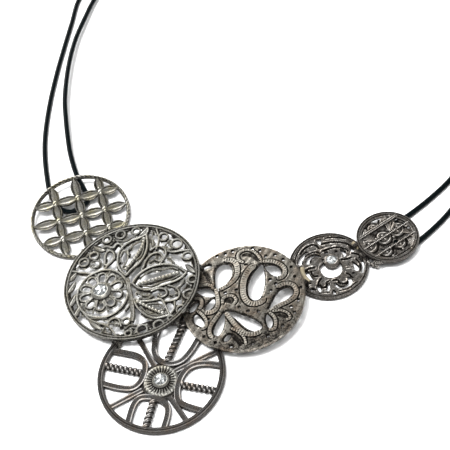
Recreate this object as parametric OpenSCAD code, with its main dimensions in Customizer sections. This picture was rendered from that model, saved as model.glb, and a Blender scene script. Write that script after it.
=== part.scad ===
// Leather cord necklace with six openwork metal discs, lying on a flat surface.
// +Z is up, the discs' front edge faces -Y and the clasp lies at the far side, towards +Y.
// The origin is on the surface, under the middle of the discs.

/* [Discs] */
// Diameter of the lattice disc, where the left cord starts
lattice_d = 37; // [36.5:0.1:37.2]
// Diameter of the floral disc, the largest
floral_d = 48; // [47.5:0.1:48.2]
// Diameter of the wheel disc, which lies lowest
wheel_d = 42; // [41.5:0.1:42.2]
// Diameter of the paisley disc
paisley_d = 42; // [41.5:0.1:42.2]
// Diameter of the arch disc
arch_d = 27.2; // [26.8:0.1:27.4]
// Diameter of the bar disc, where the right cord starts
bar_d = 21.4; // [21:0.1:21.6]

/* [Metal] */
// Height of a disc's outer ring
rim_h = 1.6; // [1.5:0.05:1.6]
// Width of a plain outer ring
rim_w = 1.4; // [1.2:0.1:1.6]
// Height of the openwork inside a ring
work_h = 1.0; // [0.8:0.1:1.2]
// Width of the finer wires
wire_w = 0.8; // [0.7:0.05:1]
// Thickness of the arch disc's plate
arch_h = 2.0; // [1.8:0.1:2]
// Rise of the paisley disc's domed middle
dome_rise = 0.8; // [0.5:0.1:0.9]

/* [Stones] */
// Width of the floral disc's stone
floral_stone_d = 4.8; // [4.4:0.1:5]
// Width of the wheel disc's stone
wheel_stone_d = 4.2; // [3.8:0.1:4.4]
// Width of the arch disc's stone
arch_stone_d = 3.6; // [3.4:0.1:3.8]

/* [Cord] */
// Diameter of the round leather cord
cord_d = 2; // [1.9:0.05:2]

/* [Hidden] */
$fn = 64;

// Each disc's middle [x, y, z], its tilt about X and about Y, and its turn in its own plane
lattice_at = [[-48.8, 37.4, 3.0], 4.5, 1.5, 2.7];
floral_at = [[-32.6, 2.3, 4.6], 0, -2.8, -4.6];
wheel_at = [[-27.1, -34.9, 1.5], 0, 0, -25];
paisley_at = [[3.8, -13.7, 4.7], 0, -4, -4.6];
arch_at = [[34.6, -6.0, 1.65], 0, 0, -4.6];
bar_at = [[56.6, -0.5, 3.6], 0, 0, 24.4];

silver = [0.52, 0.5, 0.47];
leather = [0.05, 0.06, 0.06];
crystal = [0.85, 0.9, 0.92];

gap = 0.14;
link_wall = 0.5;
link_len = 1.4;
link_w = 1.9;
link_in = 0.5;
overlap = 0.3;
seat_gap = 0.05;

lattice_r = lattice_d / 2;
floral_r = floral_d / 2;
wheel_r = wheel_d / 2;
paisley_r = paisley_d / 2;
arch_r = arch_d / 2;
bar_r = bar_d / 2;
wheel_rim_w = 1.9;

// Places a disc: turned in its own plane, then tilted, then moved
module placed(at) {
    translate(at[0]) rotate([at[1], 0, 0]) rotate([0, at[2], 0]) rotate([0, 0, at[3]]) children();
}

// Height of a disc's middle plane above the point [x, y]
function plane_z(at, x, y) =
    at[0][2] + (y - at[0][1]) * tan(at[1]) - (x - at[0][0]) * tan(at[2]);

// A flat shape made into openwork about the disc's middle plane
module work(height) {
    linear_extrude(height, center = true) children();
}

module ring_2d(outer_r, width) {
    difference() {
        circle(outer_r);
        circle(outer_r - width);
    }
}

// A straight bar from a to b
module bar_2d(a, b, width) {
    run = b - a;
    translate(a) rotate(atan2(run[1], run[0])) translate([0, -width / 2]) square([norm(run), width]);
}

// A pointed oval from a to b, where two circles cross
module petal_2d(a, b, width) {
    run = b - a;
    long = norm(run);
    bow_r = (long * long + width * width) / (4 * width);
    rise = bow_r - width / 2;
    translate(a) rotate(atan2(run[1], run[0])) translate([long / 2, 0]) intersection() {
        translate([0, rise]) circle(bow_r);
        translate([0, -rise]) circle(bow_r);
    }
}

// The outline of a pointed oval, as a bent wire
module leaf_2d(a, b, width, wire) {
    unit = (b - a) / norm(b - a);
    difference() {
        petal_2d(a, b, width);
        petal_2d(a + unit * 2 * wire, b - unit * 2 * wire, width - 2 * wire);
    }
}

// A teardrop: a circle and two straight sides that meet at its tip
module drop_2d(tip, middle, round_r) {
    run = middle - tip;
    half = 0.94 * round_r * [-run[1], run[0]] / norm(run);
    translate(middle) circle(round_r);
    polygon([tip, middle + half, middle - half]);
}

// Rounded tongue along +X from x = near, used for the wheel's loops
module tongue_2d(near, far, half, corner_r) {
    translate([near + corner_r, -half]) square([far - near - corner_r, 2 * half]);
    translate([near, corner_r - half]) square([corner_r, 2 * (half - corner_r)]);
    for (side = [-1, 1]) translate([near + corner_r, side * (half - corner_r)]) circle(corner_r);
}

// A folded strap link: the box frame that goes round a lower disc's edge.
// at_xy is the edge's middle, turn points outwards from the lower disc.
module strap(at_xy, turn, low_z, high_z, inner_w, length) {
    tall = high_z - low_z;
    translate([at_xy[0], at_xy[1], low_z]) rotate(turn) difference() {
        translate([-inner_w / 2 - link_wall, -length / 2, 0]) cube([inner_w + 2 * link_wall, length, tall]);
        translate([-inner_w / 2, -length, link_wall]) cube([inner_w, 2 * length, tall - 2 * link_wall]);
    }
}

// Direction, from the lower disc's middle, of the place where two discs' edges cross; side is 1 or -1
function link_turn(low, low_r, high, high_r, side) =
    let (
        run = [high[0][0] - low[0][0], high[0][1] - low[0][1]],
        far = norm(run),
        a = low_r - link_in,
        b = high_r - link_in
    )
    atan2(run[1], run[0]) + side * acos((far * far + a * a - b * b) / (2 * far * a));

// The middle of the lower disc's edge there
function link_spot(low, low_r, turn) =
    [low[0][0], low[0][1]] + (low_r - link_w / 2) * [cos(turn), sin(turn)];

// The strap at one crossing; its top is sunk in the upper disc's edge
module edge_link(low, low_r, low_half, high, high_r, side) {
    turn = link_turn(low, low_r, high, high_r, side);
    spot = link_spot(low, low_r, turn);
    strap(
        spot, turn,
        plane_z(low, spot[0], spot[1]) - low_half - gap - link_wall,
        plane_z(high, spot[0], spot[1]),
        link_w + 2 * gap, link_len
    );
}

// The slot in the lower disc that the strap's inner side goes down through
module link_slot(low, low_r, high, high_r, side) {
    turn = link_turn(low, low_r, high, high_r, side);
    spot = link_spot(low, low_r, turn);
    wide = link_wall + 2 * gap;
    translate([spot[0], spot[1], low[0][2] - 4]) rotate(turn)
        translate([-link_w / 2 - wide, -link_len / 2 - gap, 0]) cube([wide, link_len + 2 * gap, 8]);
}

// A bezel cup with a round seat for its stone
module bezel(stone_d, low, high, wall) {
    translate([0, 0, low]) difference() {
        cylinder(h = high - low, d = stone_d + 2 * seat_gap + 2 * wall);
        translate([0, 0, high - low - 1.1]) cylinder(h = 2, d = stone_d + 2 * seat_gap);
    }
}

// A faceted round stone in its seat: a straight girdle and a cut crown
module stone(stone_d, high) {
    translate([0, 0, high - 1.1 + seat_gap]) {
        cylinder(h = 0.8, d = stone_d);
        translate([0, 0, 0.8]) cylinder(h = 0.8, d1 = stone_d, d2 = stone_d * 0.55);
    }
}

// Lattice disc: three rows and three columns of pointed leaves
lattice_step = 8.5;
lattice_lean = -0.45;
lattice_mid = [0.5, 0.3];
leaf_w = 3.4;
knot_r = 0.8;
bail_w = cord_d + 0.3;
bail_h = cord_d + 0.3 + 2 * link_wall;

function knot(i, j) =
    lattice_mid + [lattice_step * i + lattice_lean * j, 0.12 * i + 0.97 * lattice_step * j];

module lattice_disc() {
    inner_r = lattice_r - rim_w;
    color(silver) difference() {
        union() {
            placed(lattice_at) {
                work(rim_h) ring_2d(lattice_r, rim_w);
                work(work_h) lattice_leaves(inner_r + overlap);
                for (i = [-1:1], j = [-1:1]) translate([knot(i, j)[0], knot(i, j)[1], 0])
                    cylinder(h = rim_h, r = knot_r, center = true);
            }
            strap([-48.6, 42.5], 115, 0, bail_h, bail_w, link_len);
        }
        for (side = [-1, 1]) link_slot(lattice_at, lattice_r, floral_at, floral_r, side);
    }
}

module lattice_leaves(reach) {
    for (i = [-1:1]) {
        top = knot(i, 1);
        bottom = knot(i, -1);
        petal_2d(top, [top[0], sqrt(reach * reach - top[0] * top[0])], leaf_w);
        petal_2d(bottom, [bottom[0], -sqrt(reach * reach - bottom[0] * bottom[0])], leaf_w);
        for (j = [0, 1]) petal_2d(knot(i, j), knot(i, j - 1), leaf_w);
    }
    for (j = [-1:1]) {
        left = knot(-1, j);
        right = knot(1, j);
        petal_2d(left, [-sqrt(reach * reach - left[1] * left[1]), left[1]], leaf_w);
        petal_2d(right, [sqrt(reach * reach - right[1] * right[1]), right[1]], leaf_w);
        for (i = [0, 1]) petal_2d(knot(i, j), knot(i - 1, j), leaf_w);
    }
}

// Floral disc: a stone flower in an oval, three veined leaves, scrolls and a ring of curls
flower_at = [-10.8, -2.6];
flower_r = 9.0;
petal_count = 9;
oval_r = 9.4;
floral_bezel_top = 2.1;
stem_top = [-1.2, -1.5];
stem_foot = [-0.6, -17.5];

// Leaves as [start x, start y, tip x, tip y, width]
floral_leaves = [
    [-1.6, 2.6, 5.6, 18.4, 8.6],
    [0.6, -1.6, 19.2, 0.2, 7.4],
    [0.9, -8.2, 12.6, -17.2, 6.6]
];

// Scrolls as [x, y, outer radius]
floral_scrolls = [
    [8.8, 6.8, 2.6], [10.6, 10.0, 2.2], [11.0, -7.6, 2.2], [14.4, -8.6, 2.4],
    [-7.4, 11.6, 2.6], [-3.0, 11.2, 2.0], [-4.6, 16.8, 1.8], [3.6, -12.4, 1.8],
    [-6.4, -16.8, 2.4], [6.4, 3.4, 1.6]
];

// Curls along the edge as [angle, outer radius]
floral_curls = [
    [12, 1.9], [27, 1.9], [44, 2.3], [60, 2.1], [76, 1.7], [90, 1.9], [104, 2.1], [118, 1.9], [133, 1.9],
    [148, 2.1], [163, 1.9], [178, 1.7], [193, 1.7], [208, 1.9], [224, 2.1], [240, 1.9], [255, 1.7],
    [264, 1.6], [278, 2.1], [293, 2.1], [308, 1.7], [319, 1.9], [334, 2.2], [349, 1.7]
];

module floral_disc() {
    inner_r = floral_r - rim_w;
    color(silver) difference() {
        union() {
            placed(floral_at) {
                work(1.8) ring_2d(floral_r, rim_w);
                work(work_h) intersection() {
                    circle(inner_r + overlap);
                    floral_work(inner_r);
                }
                translate([flower_at[0], flower_at[1], 0]) bezel(floral_stone_d, -work_h / 2, floral_bezel_top, 0.9);
            }
            for (side = [-1, 1]) {
                edge_link(lattice_at, lattice_r, rim_h / 2, floral_at, floral_r, side);
                edge_link(wheel_at, wheel_r, rim_h / 2, floral_at, floral_r, side);
                edge_link(paisley_at, paisley_r, rim_h / 2, floral_at, floral_r, side);
            }
        }
        placed(floral_at) translate([flower_at[0], flower_at[1], floral_bezel_top - 1.1])
            cylinder(h = 3, d = floral_stone_d + 2 * seat_gap);
    }
}

module floral_work(inner_r) {
    translate(flower_at) ring_2d(oval_r, wire_w);
    for (k = [0:petal_count - 1]) {
        turn = k * 360 / petal_count + 10;
        leaf_2d(flower_at + 2.6 * [cos(turn), sin(turn)], flower_at + flower_r * [cos(turn), sin(turn)], 3.4, 0.7);
    }
    bar_2d([-20.4, -2.6], [-22.6, -2.6], 2 * wire_w);
    bar_2d(stem_top, stem_foot, 1.5);
    for (leaf = floral_leaves) {
        foot = [leaf[0], leaf[1]];
        tip = [leaf[2], leaf[3]];
        leaf_2d(foot, tip, leaf[4], wire_w);
        bar_2d(foot, foot + 0.85 * (tip - foot), 1.1);
    }
    bar_2d([-1.2, -1.5], [-1.4, 3.4], 1.2);
    bar_2d([-1.0, -1.6], [2.2, -1.4], 1.2);
    bar_2d([-0.8, -7.4], [1.8, -9.0], 1.2);
    for (s = floral_scrolls) translate([s[0], s[1]]) ring_2d(s[2], wire_w);
    for (c = floral_curls) rotate(c[0]) translate([inner_r - c[1] + overlap, 0]) ring_2d(c[1], wire_w);
    bar_2d([-6.6, 14.0], [-2.8, 20.0], wire_w);
    bar_2d([-3.4, 5.0], [-6.6, 10.0], wire_w);
    bar_2d([12.0, 11.8], [14.6, 13.6], wire_w);
    bar_2d([15.6, -10.0], [18.4, -11.2], wire_w);
    bar_2d([9.2, 4.4], [8.2, 2.6], wire_w);
    bar_2d([9.8, -5.6], [9.0, -3.4], wire_w);
    bar_2d([-6.2, -14.4], [-5.4, -10.4], wire_w);
    bar_2d([-7.6, -18.8], [-8.4, -20.6], wire_w);
}

module floral_stone() {
    color(crystal) placed(floral_at) translate([flower_at[0], flower_at[1], 0]) stone(floral_stone_d, floral_bezel_top);
}

// Wheel disc: a fluted hub with a stone, four loops with a twisted bar in each, four spokes
hub_at = [0.7, -2.4];
hub_r = 5.6;
loop_near = 6.3;
loop_half = 7.0;
loop_w = 1.9;
twist_w = 2.1;
spoke_w = 1.6;
wheel_bezel_top = 1.9;

module wheel_disc() {
    color(silver) difference() {
        placed(wheel_at) {
            work(rim_h) ring_2d(wheel_r, wheel_rim_w);
            work(1.3) intersection() {
                circle(wheel_r - wheel_rim_w + overlap);
                translate(hub_at) wheel_work();
            }
            translate([hub_at[0], hub_at[1], 0]) {
                translate([0, 0, -0.65]) cylinder(h = 1.5, r = hub_r);
                bezel(wheel_stone_d, -0.4, wheel_bezel_top, 0.8);
            }
        }
        placed(wheel_at) translate([hub_at[0], hub_at[1], wheel_bezel_top - 1.1])
            cylinder(h = 3, d = wheel_stone_d + 2 * seat_gap);
        for (side = [-1, 1]) link_slot(wheel_at, wheel_r, floral_at, floral_r, side);
    }
}

module wheel_work() {
    far = 2 * wheel_r;
    for (turn = [0, 90, 180, 270]) rotate(turn) {
        difference() {
            tongue_2d(loop_near - loop_w / 2, far, loop_half, 4.2);
            tongue_2d(loop_near + loop_w / 2, far, loop_half - loop_w, 2.8);
        }
        translate([loop_near, -twist_w / 2]) square([far, twist_w]);
    }
    for (turn = [43, 133, 223, 313]) rotate(turn) translate([4, -spoke_w / 2]) square([far, spoke_w]);
}

module wheel_stone() {
    color(crystal) placed(wheel_at) translate([hub_at[0], hub_at[1], 0]) stone(wheel_stone_d, wheel_bezel_top);
}

// Paisley disc: a domed plate pierced with teardrops and small round holes.
// Teardrops as [tip x, tip y, round end x, round end y, round end radius]
drops = [
    [-8.2, 3.8, -4.9, 11.2, 3.4], [8.0, 11.6, 5.0, 0.6, 3.0], [8.6, 10.4, 12.6, 7.2, 1.9],
    [8.2, -7.7, 14.2, -2.4, 2.2], [7.0, -9.0, 7.1, -13.0, 1.2], [-6.2, -4.5, 2.2, -12.2, 2.2],
    [-7.0, -4.8, -10.0, -11.6, 1.7], [-15.4, 6.6, -10.8, 4.1, 1.7], [-9.6, 1.2, -12.2, -1.4, 1.2],
    [-16.7, -2.8, -15.7, -6.4, 1.8], [-13.2, 14.2, -10.4, 15.4, 0.8], [8.0, 12.4, 3.2, 16.0, 1.5],
    [8.6, -9.0, 12.2, -10.9, 1.1], [-2.4, -18.0, -6.6, -14.6, 1.5], [-19.6, -1.4, -16.4, 0.6, 1.2],
    [-19.0, 3.4, -18.2, 7.4, 1.6]
];

// Small drilled holes as [x, y]
dots = [
    [-6.7, 18.8], [-3.7, 18.9], [-1.0, 19.4], [5.8, 18.8], [8.3, 17.2], [9.9, 14.4], [13.1, 14.0], [15.5, 11.4],
    [17.6, 7.7], [18.2, 3.6], [19.2, -1.2], [17.8, -5.8], [15.2, -7.9], [15.8, -10.3], [11.3, -14.3],
    [2.8, 12.3], [-1.8, 2.7], [-5.5, 2.4], [11.6, 2.0], [10.0, 4.0], [9.6, -0.3], [-1.7, -4.4], [1.0, -6.6],
    [4.4, -7.4], [-12.4, -6.3], [-14.6, -12.2], [-11.3, -15.4], [-6.4, -17.9], [0.7, -18.4], [6.0, -17.0]
];
dot_d = 1.1;
dome_flat_r = 7.5;
dome_foot_r = 19.2;

module paisley_disc() {
    color(silver) difference() {
        union() {
            placed(paisley_at) difference() {
                rotate_extrude() dome_outline();
                linear_extrude(8, center = true) {
                    for (d = drops) drop_2d([d[0], d[1]], [d[2], d[3]], d[4]);
                    for (spot = dots) translate(spot) circle(d = dot_d);
                }
            }
            for (side = [-1, 1]) edge_link(arch_at, arch_r, arch_h / 2, paisley_at, paisley_r, side);
        }
        for (side = [-1, 1]) link_slot(paisley_at, paisley_r, floral_at, floral_r, side);
    }
}

// Half section of the plate: flat at the edge, rising to a flat middle
module dome_outline() {
    half = rim_h / 2;
    polygon([
        [0, dome_rise - half], [dome_flat_r, dome_rise - half], [dome_foot_r, -half], [paisley_r, -half],
        [paisley_r, half], [dome_foot_r, half], [dome_flat_r, dome_rise + half], [0, dome_rise + half]
    ]);
}

// Arch disc: a thick plate with an open middle and six lobes of nested arches round it.
// Lobes as [x, y, direction, outer radius of the slot]
arch_mid = [0.5, -1.6];
arch_hole_r = 3.6;
slot_w = 0.9;
lobes = [
    [2.6, 5.4, 66, 4.4], [-4.6, 3.6, 140, 4.2], [-6.6, -2.6, 196, 2.4],
    [-3.4, -7.4, 247, 2.4], [3.6, -7.6, 300, 2.7], [7.8, -1.6, 2, 3.6]
];
arch_bezel_at = [1.4, 1.4];
arch_bezel_top = 1.8;

module arch_disc() {
    color(silver) difference() {
        placed(arch_at) {
            linear_extrude(arch_h, center = true) difference() {
                circle(arch_r);
                translate(arch_mid) circle(arch_hole_r);
                for (l = lobes) translate([l[0], l[1]]) rotate(l[2]) intersection() {
                    ring_2d(l[3], slot_w);
                    translate([0.4, -l[3]]) square(2 * l[3]);
                }
                translate([-1.3, 10.9]) circle(0.7);
                translate([-0.4, -11.2]) circle(0.7);
            }
            translate([arch_bezel_at[0], arch_bezel_at[1], 0]) bezel(arch_stone_d, -arch_h / 2, arch_bezel_top, 0.7);
        }
        placed(arch_at) translate([arch_bezel_at[0], arch_bezel_at[1], arch_bezel_top - 1.1])
            cylinder(h = 3, d = arch_stone_d + 2 * seat_gap);
        for (side = [-1, 1]) link_slot(arch_at, arch_r, paisley_at, paisley_r, side);
        for (side = [-1, 1]) link_slot(arch_at, arch_r, bar_at, bar_r, side);
    }
}

module arch_stone() {
    color(crystal) placed(arch_at) translate([arch_bezel_at[0], arch_bezel_at[1], 0])
        stone(arch_stone_d, arch_bezel_top);
}

// Bar disc: four straight bars with rows of rings split by them.
// Rings as [x, y of the bar it is split by, outer radius]
bars_y = [5.4, 0.4, -4.3, -8.4];
bar_rings = [
    [-7.0, 0.4, 2.8], [-1.1, 0.4, 3.0], [4.7, 0.4, 2.8], [-1.7, 5.4, 2.6], [3.6, 5.4, 2.6],
    [-4.2, -4.3, 2.6], [1.5, -4.3, 2.7], [7.0, -4.3, 2.3], [-6.6, 5.4, 1.9]
];
eye_r = 1.0;
fine_w = 0.6;

module bar_disc() {
    inner_r = bar_r - rim_w + overlap;
    color(silver) {
        placed(bar_at) {
            work(rim_h) ring_2d(bar_r, rim_w);
            work(work_h) intersection() {
                circle(inner_r);
                union() {
                    for (y = bars_y) translate([-bar_r, y - fine_w / 2]) square([bar_d, fine_w]);
                    for (r = bar_rings) translate([r[0], r[1]]) {
                        ring_2d(r[2], fine_w);
                        for (side = [-1, 1]) translate([0, side * 1.25]) ring_2d(eye_r, 0.5);
                    }
                    for (x = [-4.0, 1.8, 7.6]) bar_2d([x, 0.4], [x, 5.4], fine_w);
                    for (x = [-1.2, 4.4]) bar_2d([x, -4.3], [x, 0.4], fine_w);
                    for (x = [-1.4, 4.4]) bar_2d([x, -8.4], [x, -4.3], fine_w);
                }
            }
        }
        strap([58.6, 1.2], 0, 0, bail_h, bail_w, link_len);
        for (side = [-1, 1]) edge_link(arch_at, arch_r, arch_h / 2, bar_at, bar_r, side);
    }
}

// The left cord's route: from the clasp along the outer strand, round the bail, and back inside
left_route = [
    [29, 200.2, 1.4], [20, 200.8, 1.1], [8, 200.6, 1.0], [-4, 197.8, 1.0], [-15, 192.8, 1.0], [-25, 185.6, 1.0],
    [-34, 176.0, 1.0], [-41.6, 165.0, 1.0], [-45.9, 149.5, 1.0], [-50.1, 134.2, 1.0], [-53.9, 119.6, 1.0],
    [-57.7, 102.3, 1.0], [-60.3, 85.6, 1.0], [-61.1, 72.0, 1.0], [-60.4, 56.4, 1.0], [-59.0, 49.8, 1.2],
    [-57.2, 45.4, 1.4], [-54.8, 42.4, 1.6], [-52.2, 41.2, 1.6], [-49.7, 42.0, 1.6], [-47.5, 43.0, 1.6],
    [-46.0, 44.6, 1.7], [-45.8, 47.6, 1.8], [-47.0, 51.6, 2.0], [-49.0, 58.4, 2.4], [-50.7, 70.5, 3.2], [-51.1, 86.9, 4.0],
    [-50.7, 100.4, 4.3], [-48.3, 118.1, 4.2], [-44.6, 134.4, 3.7], [-39.4, 149.0, 3.1], [-34.6, 160.8, 2.6],
    [-28.4, 172.0, 2.0], [-19.6, 182.0, 1.4], [-9.6, 189.6, 1.0], [2.0, 195.0, 1.0], [12, 197.4, 1.0],
    [21, 198.0, 1.1], [29, 197.8, 1.4]
];

// The right cord's route: from the clasp along the inner strand, round the bail, and back outside
right_route = [
    [47, 197.8, 1.4], [56, 196.8, 1.1], [68, 192.6, 1.0], [80, 186.0, 1.0], [92, 177.0, 1.0], [103, 165.0, 1.0],
    [112, 151.4, 1.0], [118.4, 136.0, 1.0], [121.4, 119.0, 1.0], [120.6, 102.0, 1.0], [117.0, 85.0, 1.0],
    [111.4, 68.0, 1.0], [105.0, 52.4, 1.0], [97.4, 37.4, 1.0], [90.0, 26.8, 1.0], [85.1, 20.8, 1.0],
    [75.9, 14.2, 1.0], [67.2, 9.0, 1.2], [62.6, 6.8, 1.4], [59.6, 4.8, 1.6], [58.6, 2.4, 1.6],
    [58.6, 0.0, 1.6], [59.6, -2.6, 1.6], [62.0, -4.2, 1.5], [65.4, -4.0, 1.3], [76.1, 3.0, 1.0],
    [84.0, 9.8, 1.0], [92.6, 18.4, 1.0], [101.4, 29.4, 1.0], [110.0, 43.4, 1.0], [117.4, 59.4, 1.0],
    [123.4, 77.0, 1.0], [127.6, 96.0, 1.0], [129.0, 116.0, 1.0], [126.2, 137.0, 1.0], [119.0, 156.0, 1.0],
    [108.0, 171.6, 1.0], [94.0, 184.4, 1.0], [79.0, 193.4, 1.0], [62.0, 199.2, 1.0], [47, 200.2, 1.4]
];

cord_sides = 8;

// Direction of a route at its point k
function heading(route, k) =
    let (
        a = route[max(k - 1, 0)],
        b = route[min(k + 1, len(route) - 1)]
    )
    (b - a) / norm(b - a);

// One ring of points round the route at its point k; the end rings are square to the clasp's faces
function cord_ring(route, k) =
    let (
        last = len(route) - 1,
        ahead = (k == 0 || k == last) ? [1, 0, 0] * sign(heading(route, k)[0]) : heading(route, k),
        side = cross([0, 0, 1], ahead) / norm(cross([0, 0, 1], ahead)),
        up = cross(ahead, side)
    )
    [for (n = [0:cord_sides - 1])
        let (turn = (n + 0.5) * 360 / cord_sides)
        route[k] + cord_d / 2 * (cos(turn) * side + sin(turn) * up)];

// A tube of cord_sides sides swept along the route's own points
module cord_tube(route) {
    rings = len(route);
    points = [for (k = [0:rings - 1]) each cord_ring(route, k)];
    walls = [
        for (k = [0:rings - 2], n = [0:cord_sides - 1])
            let (
                m = (n + 1) % cord_sides,
                here = k * cord_sides,
                next = here + cord_sides
            )
            [here + n, next + n, next + m, here + m]
    ];
    start_cap = [[for (n = [0:cord_sides - 1]) n]];
    end_cap = [[for (n = [cord_sides - 1:-1:0]) (rings - 1) * cord_sides + n]];
    polyhedron(points, concat(walls, start_cap, end_cap));
}

module cord_left() {
    color(leather) cord_tube(left_route);
}

module cord_right() {
    color(leather) cord_tube(right_route);
}

// Clasp: one plain closed barrel with a flat crimp at each end for two cord ends
clasp_mid = [38, 199];
clasp_l = 18;
crimp_l = 5.5;
crimp_w = 5.2;
crimp_h = 2.8;
barrel_d = 4.0;

module clasp() {
    color(silver) translate([clasp_mid[0], clasp_mid[1], 0]) {
        for (side = [-1, 1]) translate([side * (clasp_l - crimp_l) / 2, 0, crimp_h / 2]) rotate([90, 0, 90])
            linear_extrude(crimp_l, center = true) {
                square([crimp_w - crimp_h, crimp_h], center = true);
                for (end = [-1, 1]) translate([end * (crimp_w - crimp_h) / 2, 0]) circle(crimp_h / 2);
            }
        translate([0, 0, barrel_d / 2]) rotate([0, 90, 0])
            cylinder(h = clasp_l - 2 * crimp_l + 1, d = barrel_d, center = true);
    }
}

lattice_disc();
floral_disc();
floral_stone();
wheel_disc();
wheel_stone();
paisley_disc();
arch_disc();
arch_stone();
bar_disc();
cord_left();
cord_right();
clasp();
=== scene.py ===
# %% [markdown]
# This lesson builds a bib necklace: six openwork discs of antiqued silver metal, hung on doubled
# black leather cord, lying on a pale table. A maker would cast or solder the discs from wire,
# ribbon and pierced sheet. Every shape here is worked out with numpy as a surface in millimetres,
# turned into metres at the end, because a formula keeps each wire's size true.


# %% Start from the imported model
import bpy
import numpy as np
from mathutils import Matrix, Vector


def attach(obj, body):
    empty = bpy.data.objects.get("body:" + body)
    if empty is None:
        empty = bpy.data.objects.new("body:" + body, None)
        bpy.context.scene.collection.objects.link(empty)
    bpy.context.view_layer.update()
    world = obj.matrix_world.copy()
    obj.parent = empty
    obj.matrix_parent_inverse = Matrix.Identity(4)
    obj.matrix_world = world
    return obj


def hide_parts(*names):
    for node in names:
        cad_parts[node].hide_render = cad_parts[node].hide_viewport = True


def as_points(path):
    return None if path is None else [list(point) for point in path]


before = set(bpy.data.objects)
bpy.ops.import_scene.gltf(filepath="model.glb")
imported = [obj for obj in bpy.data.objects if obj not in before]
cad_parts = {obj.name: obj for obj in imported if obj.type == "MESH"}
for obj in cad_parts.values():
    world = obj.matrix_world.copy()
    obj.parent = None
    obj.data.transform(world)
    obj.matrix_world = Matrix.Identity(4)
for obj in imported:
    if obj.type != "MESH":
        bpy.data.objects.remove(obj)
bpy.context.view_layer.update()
MM = 0.001
scene = bpy.context.scene
rng = np.random.default_rng(7)


# %% [markdown]
# The camera comes first, because everything else is judged through it. It looks down at the table
# at about 51 degrees and is rolled a little, so the row of discs runs across the picture.


# %% Camera
elevation, roll = np.radians(51.24), np.radians(-11.47)
look = np.array([0, np.cos(elevation), -np.sin(elevation)])
level_up = np.array([0, np.sin(elevation), np.cos(elevation)])
across = np.cos(roll) * np.array([1, 0, 0]) + np.sin(roll) * level_up
upward = -np.sin(roll) * np.array([1, 0, 0]) + np.cos(roll) * level_up
lens = bpy.data.cameras.new("camera")
lens.sensor_width, lens.lens, lens.clip_start, lens.clip_end = 36, 79.42, 0.01, 10
camera = bpy.data.objects.new("camera", lens)
stand = np.array([2.68, -202.18, 278.99]) * MM
axes = np.column_stack([across, upward, -look, stand])
camera.matrix_world = Matrix(np.vstack([axes, (0, 0, 0, 1)]).tolist())
scene.collection.objects.link(camera)
scene.camera = camera
print("camera stands", round(camera.location.length, 3), "m from the origin")


# %% [markdown]
# Some tools are used by every piece. A smooth curve is drawn through a few given points,
# and a side and an up direction along it say how a cross-section stands on it. A Blender curve
# object could do the same, but a plain array of points can be measured and bent by a formula.


# %% Curves and frames
def smooth(points, step, closed=False):
    """Points about `step` apart on a smooth curve through all the given ones. In each span the
    place is a cubic in t whose slope at either end is half the chord between that end's
    neighbours. It is worked out at 24 values of t, then spaced evenly."""
    p = np.asarray(points, float)
    p = np.vstack([p[-1:], p, p[:2]] if closed else [2 * p[:1] - p[1:2], p, 2 * p[-1:] - p[-2:-1]])
    a, b, c, d = (p[k:len(p) - 3 + k, None] for k in range(4))
    t = np.linspace(0, 1, 24, endpoint=False)[:, None]
    fine = 0.5 * (2 * b + (c - a) * t + (2 * a - 5 * b + 4 * c - d) * t**2
                  + (3 * b - a - 3 * c + d) * t**3)
    return even(np.vstack([fine.reshape(-1, p.shape[1]), p[-2]]), step, closed)


def even(fine, step, closed=False):
    """The same line with its points evenly spaced: each coordinate is read off against length."""
    run = np.r_[0, np.cumsum(np.linalg.norm(np.diff(fine, axis=0), axis=1))]
    count = max(3, int(round(run[-1] / step)) + 1)
    at = np.linspace(0, run[-1], count)
    line = np.column_stack([np.interp(at, run, fine[:, k]) for k in range(fine.shape[1])])
    return line[:-1] if closed else line


def round_line(centre, radii, step, start=0.0, sweep=2 * np.pi, turn=0.0):
    """Points on an ellipse arc: centre plus radii times (cos, sin), turned in the plane."""
    t = start + np.linspace(0, sweep, 181)
    rx, ry = np.broadcast_to(radii, 2)
    x, y = rx * np.cos(t), ry * np.sin(t)
    fine = np.column_stack([centre[0] + x * np.cos(turn) - y * np.sin(turn),
                            centre[1] + x * np.sin(turn) + y * np.cos(turn)])
    return even(fine, step, closed=np.isclose(abs(sweep), 2 * np.pi))


def lengths(line):
    """Distance along the line to each of its points."""
    return np.r_[0, np.cumsum(np.linalg.norm(np.diff(line, axis=0), axis=1))]


def frame_along(line, closed):
    """Side and up directions: side is level and square to the line, up is square to both."""
    ahead = (np.roll(line, -1, 0) - np.roll(line, 1, 0)) if closed else np.gradient(line, axis=0)
    ahead /= np.linalg.norm(ahead, axis=1, keepdims=True)
    side = np.cross((0, 0, 1.0), ahead)
    side /= np.linalg.norm(side, axis=1, keepdims=True)
    return side, np.cross(ahead, side)


print("a line through 3 points, 0.5 mm apart, has", len(smooth([(0, 0), (5, 2), (10, 0)], 0.5)), "points")


# %% From points and faces to a piece
def make_piece(name, points, faces, material, worn=None, sharp=38):
    """Puts points and faces into a mesh with its values of wear and painted light, and marks edges sharper
    than an angle.
    """
    mesh = bpy.data.meshes.new(name)
    mesh.from_pydata(np.asarray(points).tolist(), [], faces)
    if worn is not None:
        values = np.asarray(worn, np.float32)
        mesh.attributes.new("worn", "FLOAT", "POINT").data.foreach_set("value", values)
    mesh.materials.append(material)
    mesh.validate()
    mesh.shade_smooth()
    mesh.set_sharp_from_angle(angle=np.radians(sharp))
    piece = bpy.data.objects.new(name, mesh)
    scene.collection.objects.link(piece)
    triangles = sum(len(p.vertices) - 2 for p in mesh.polygons)
    print(name, "has", len(mesh.vertices), "points and", triangles, "triangles")
    return piece


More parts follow.
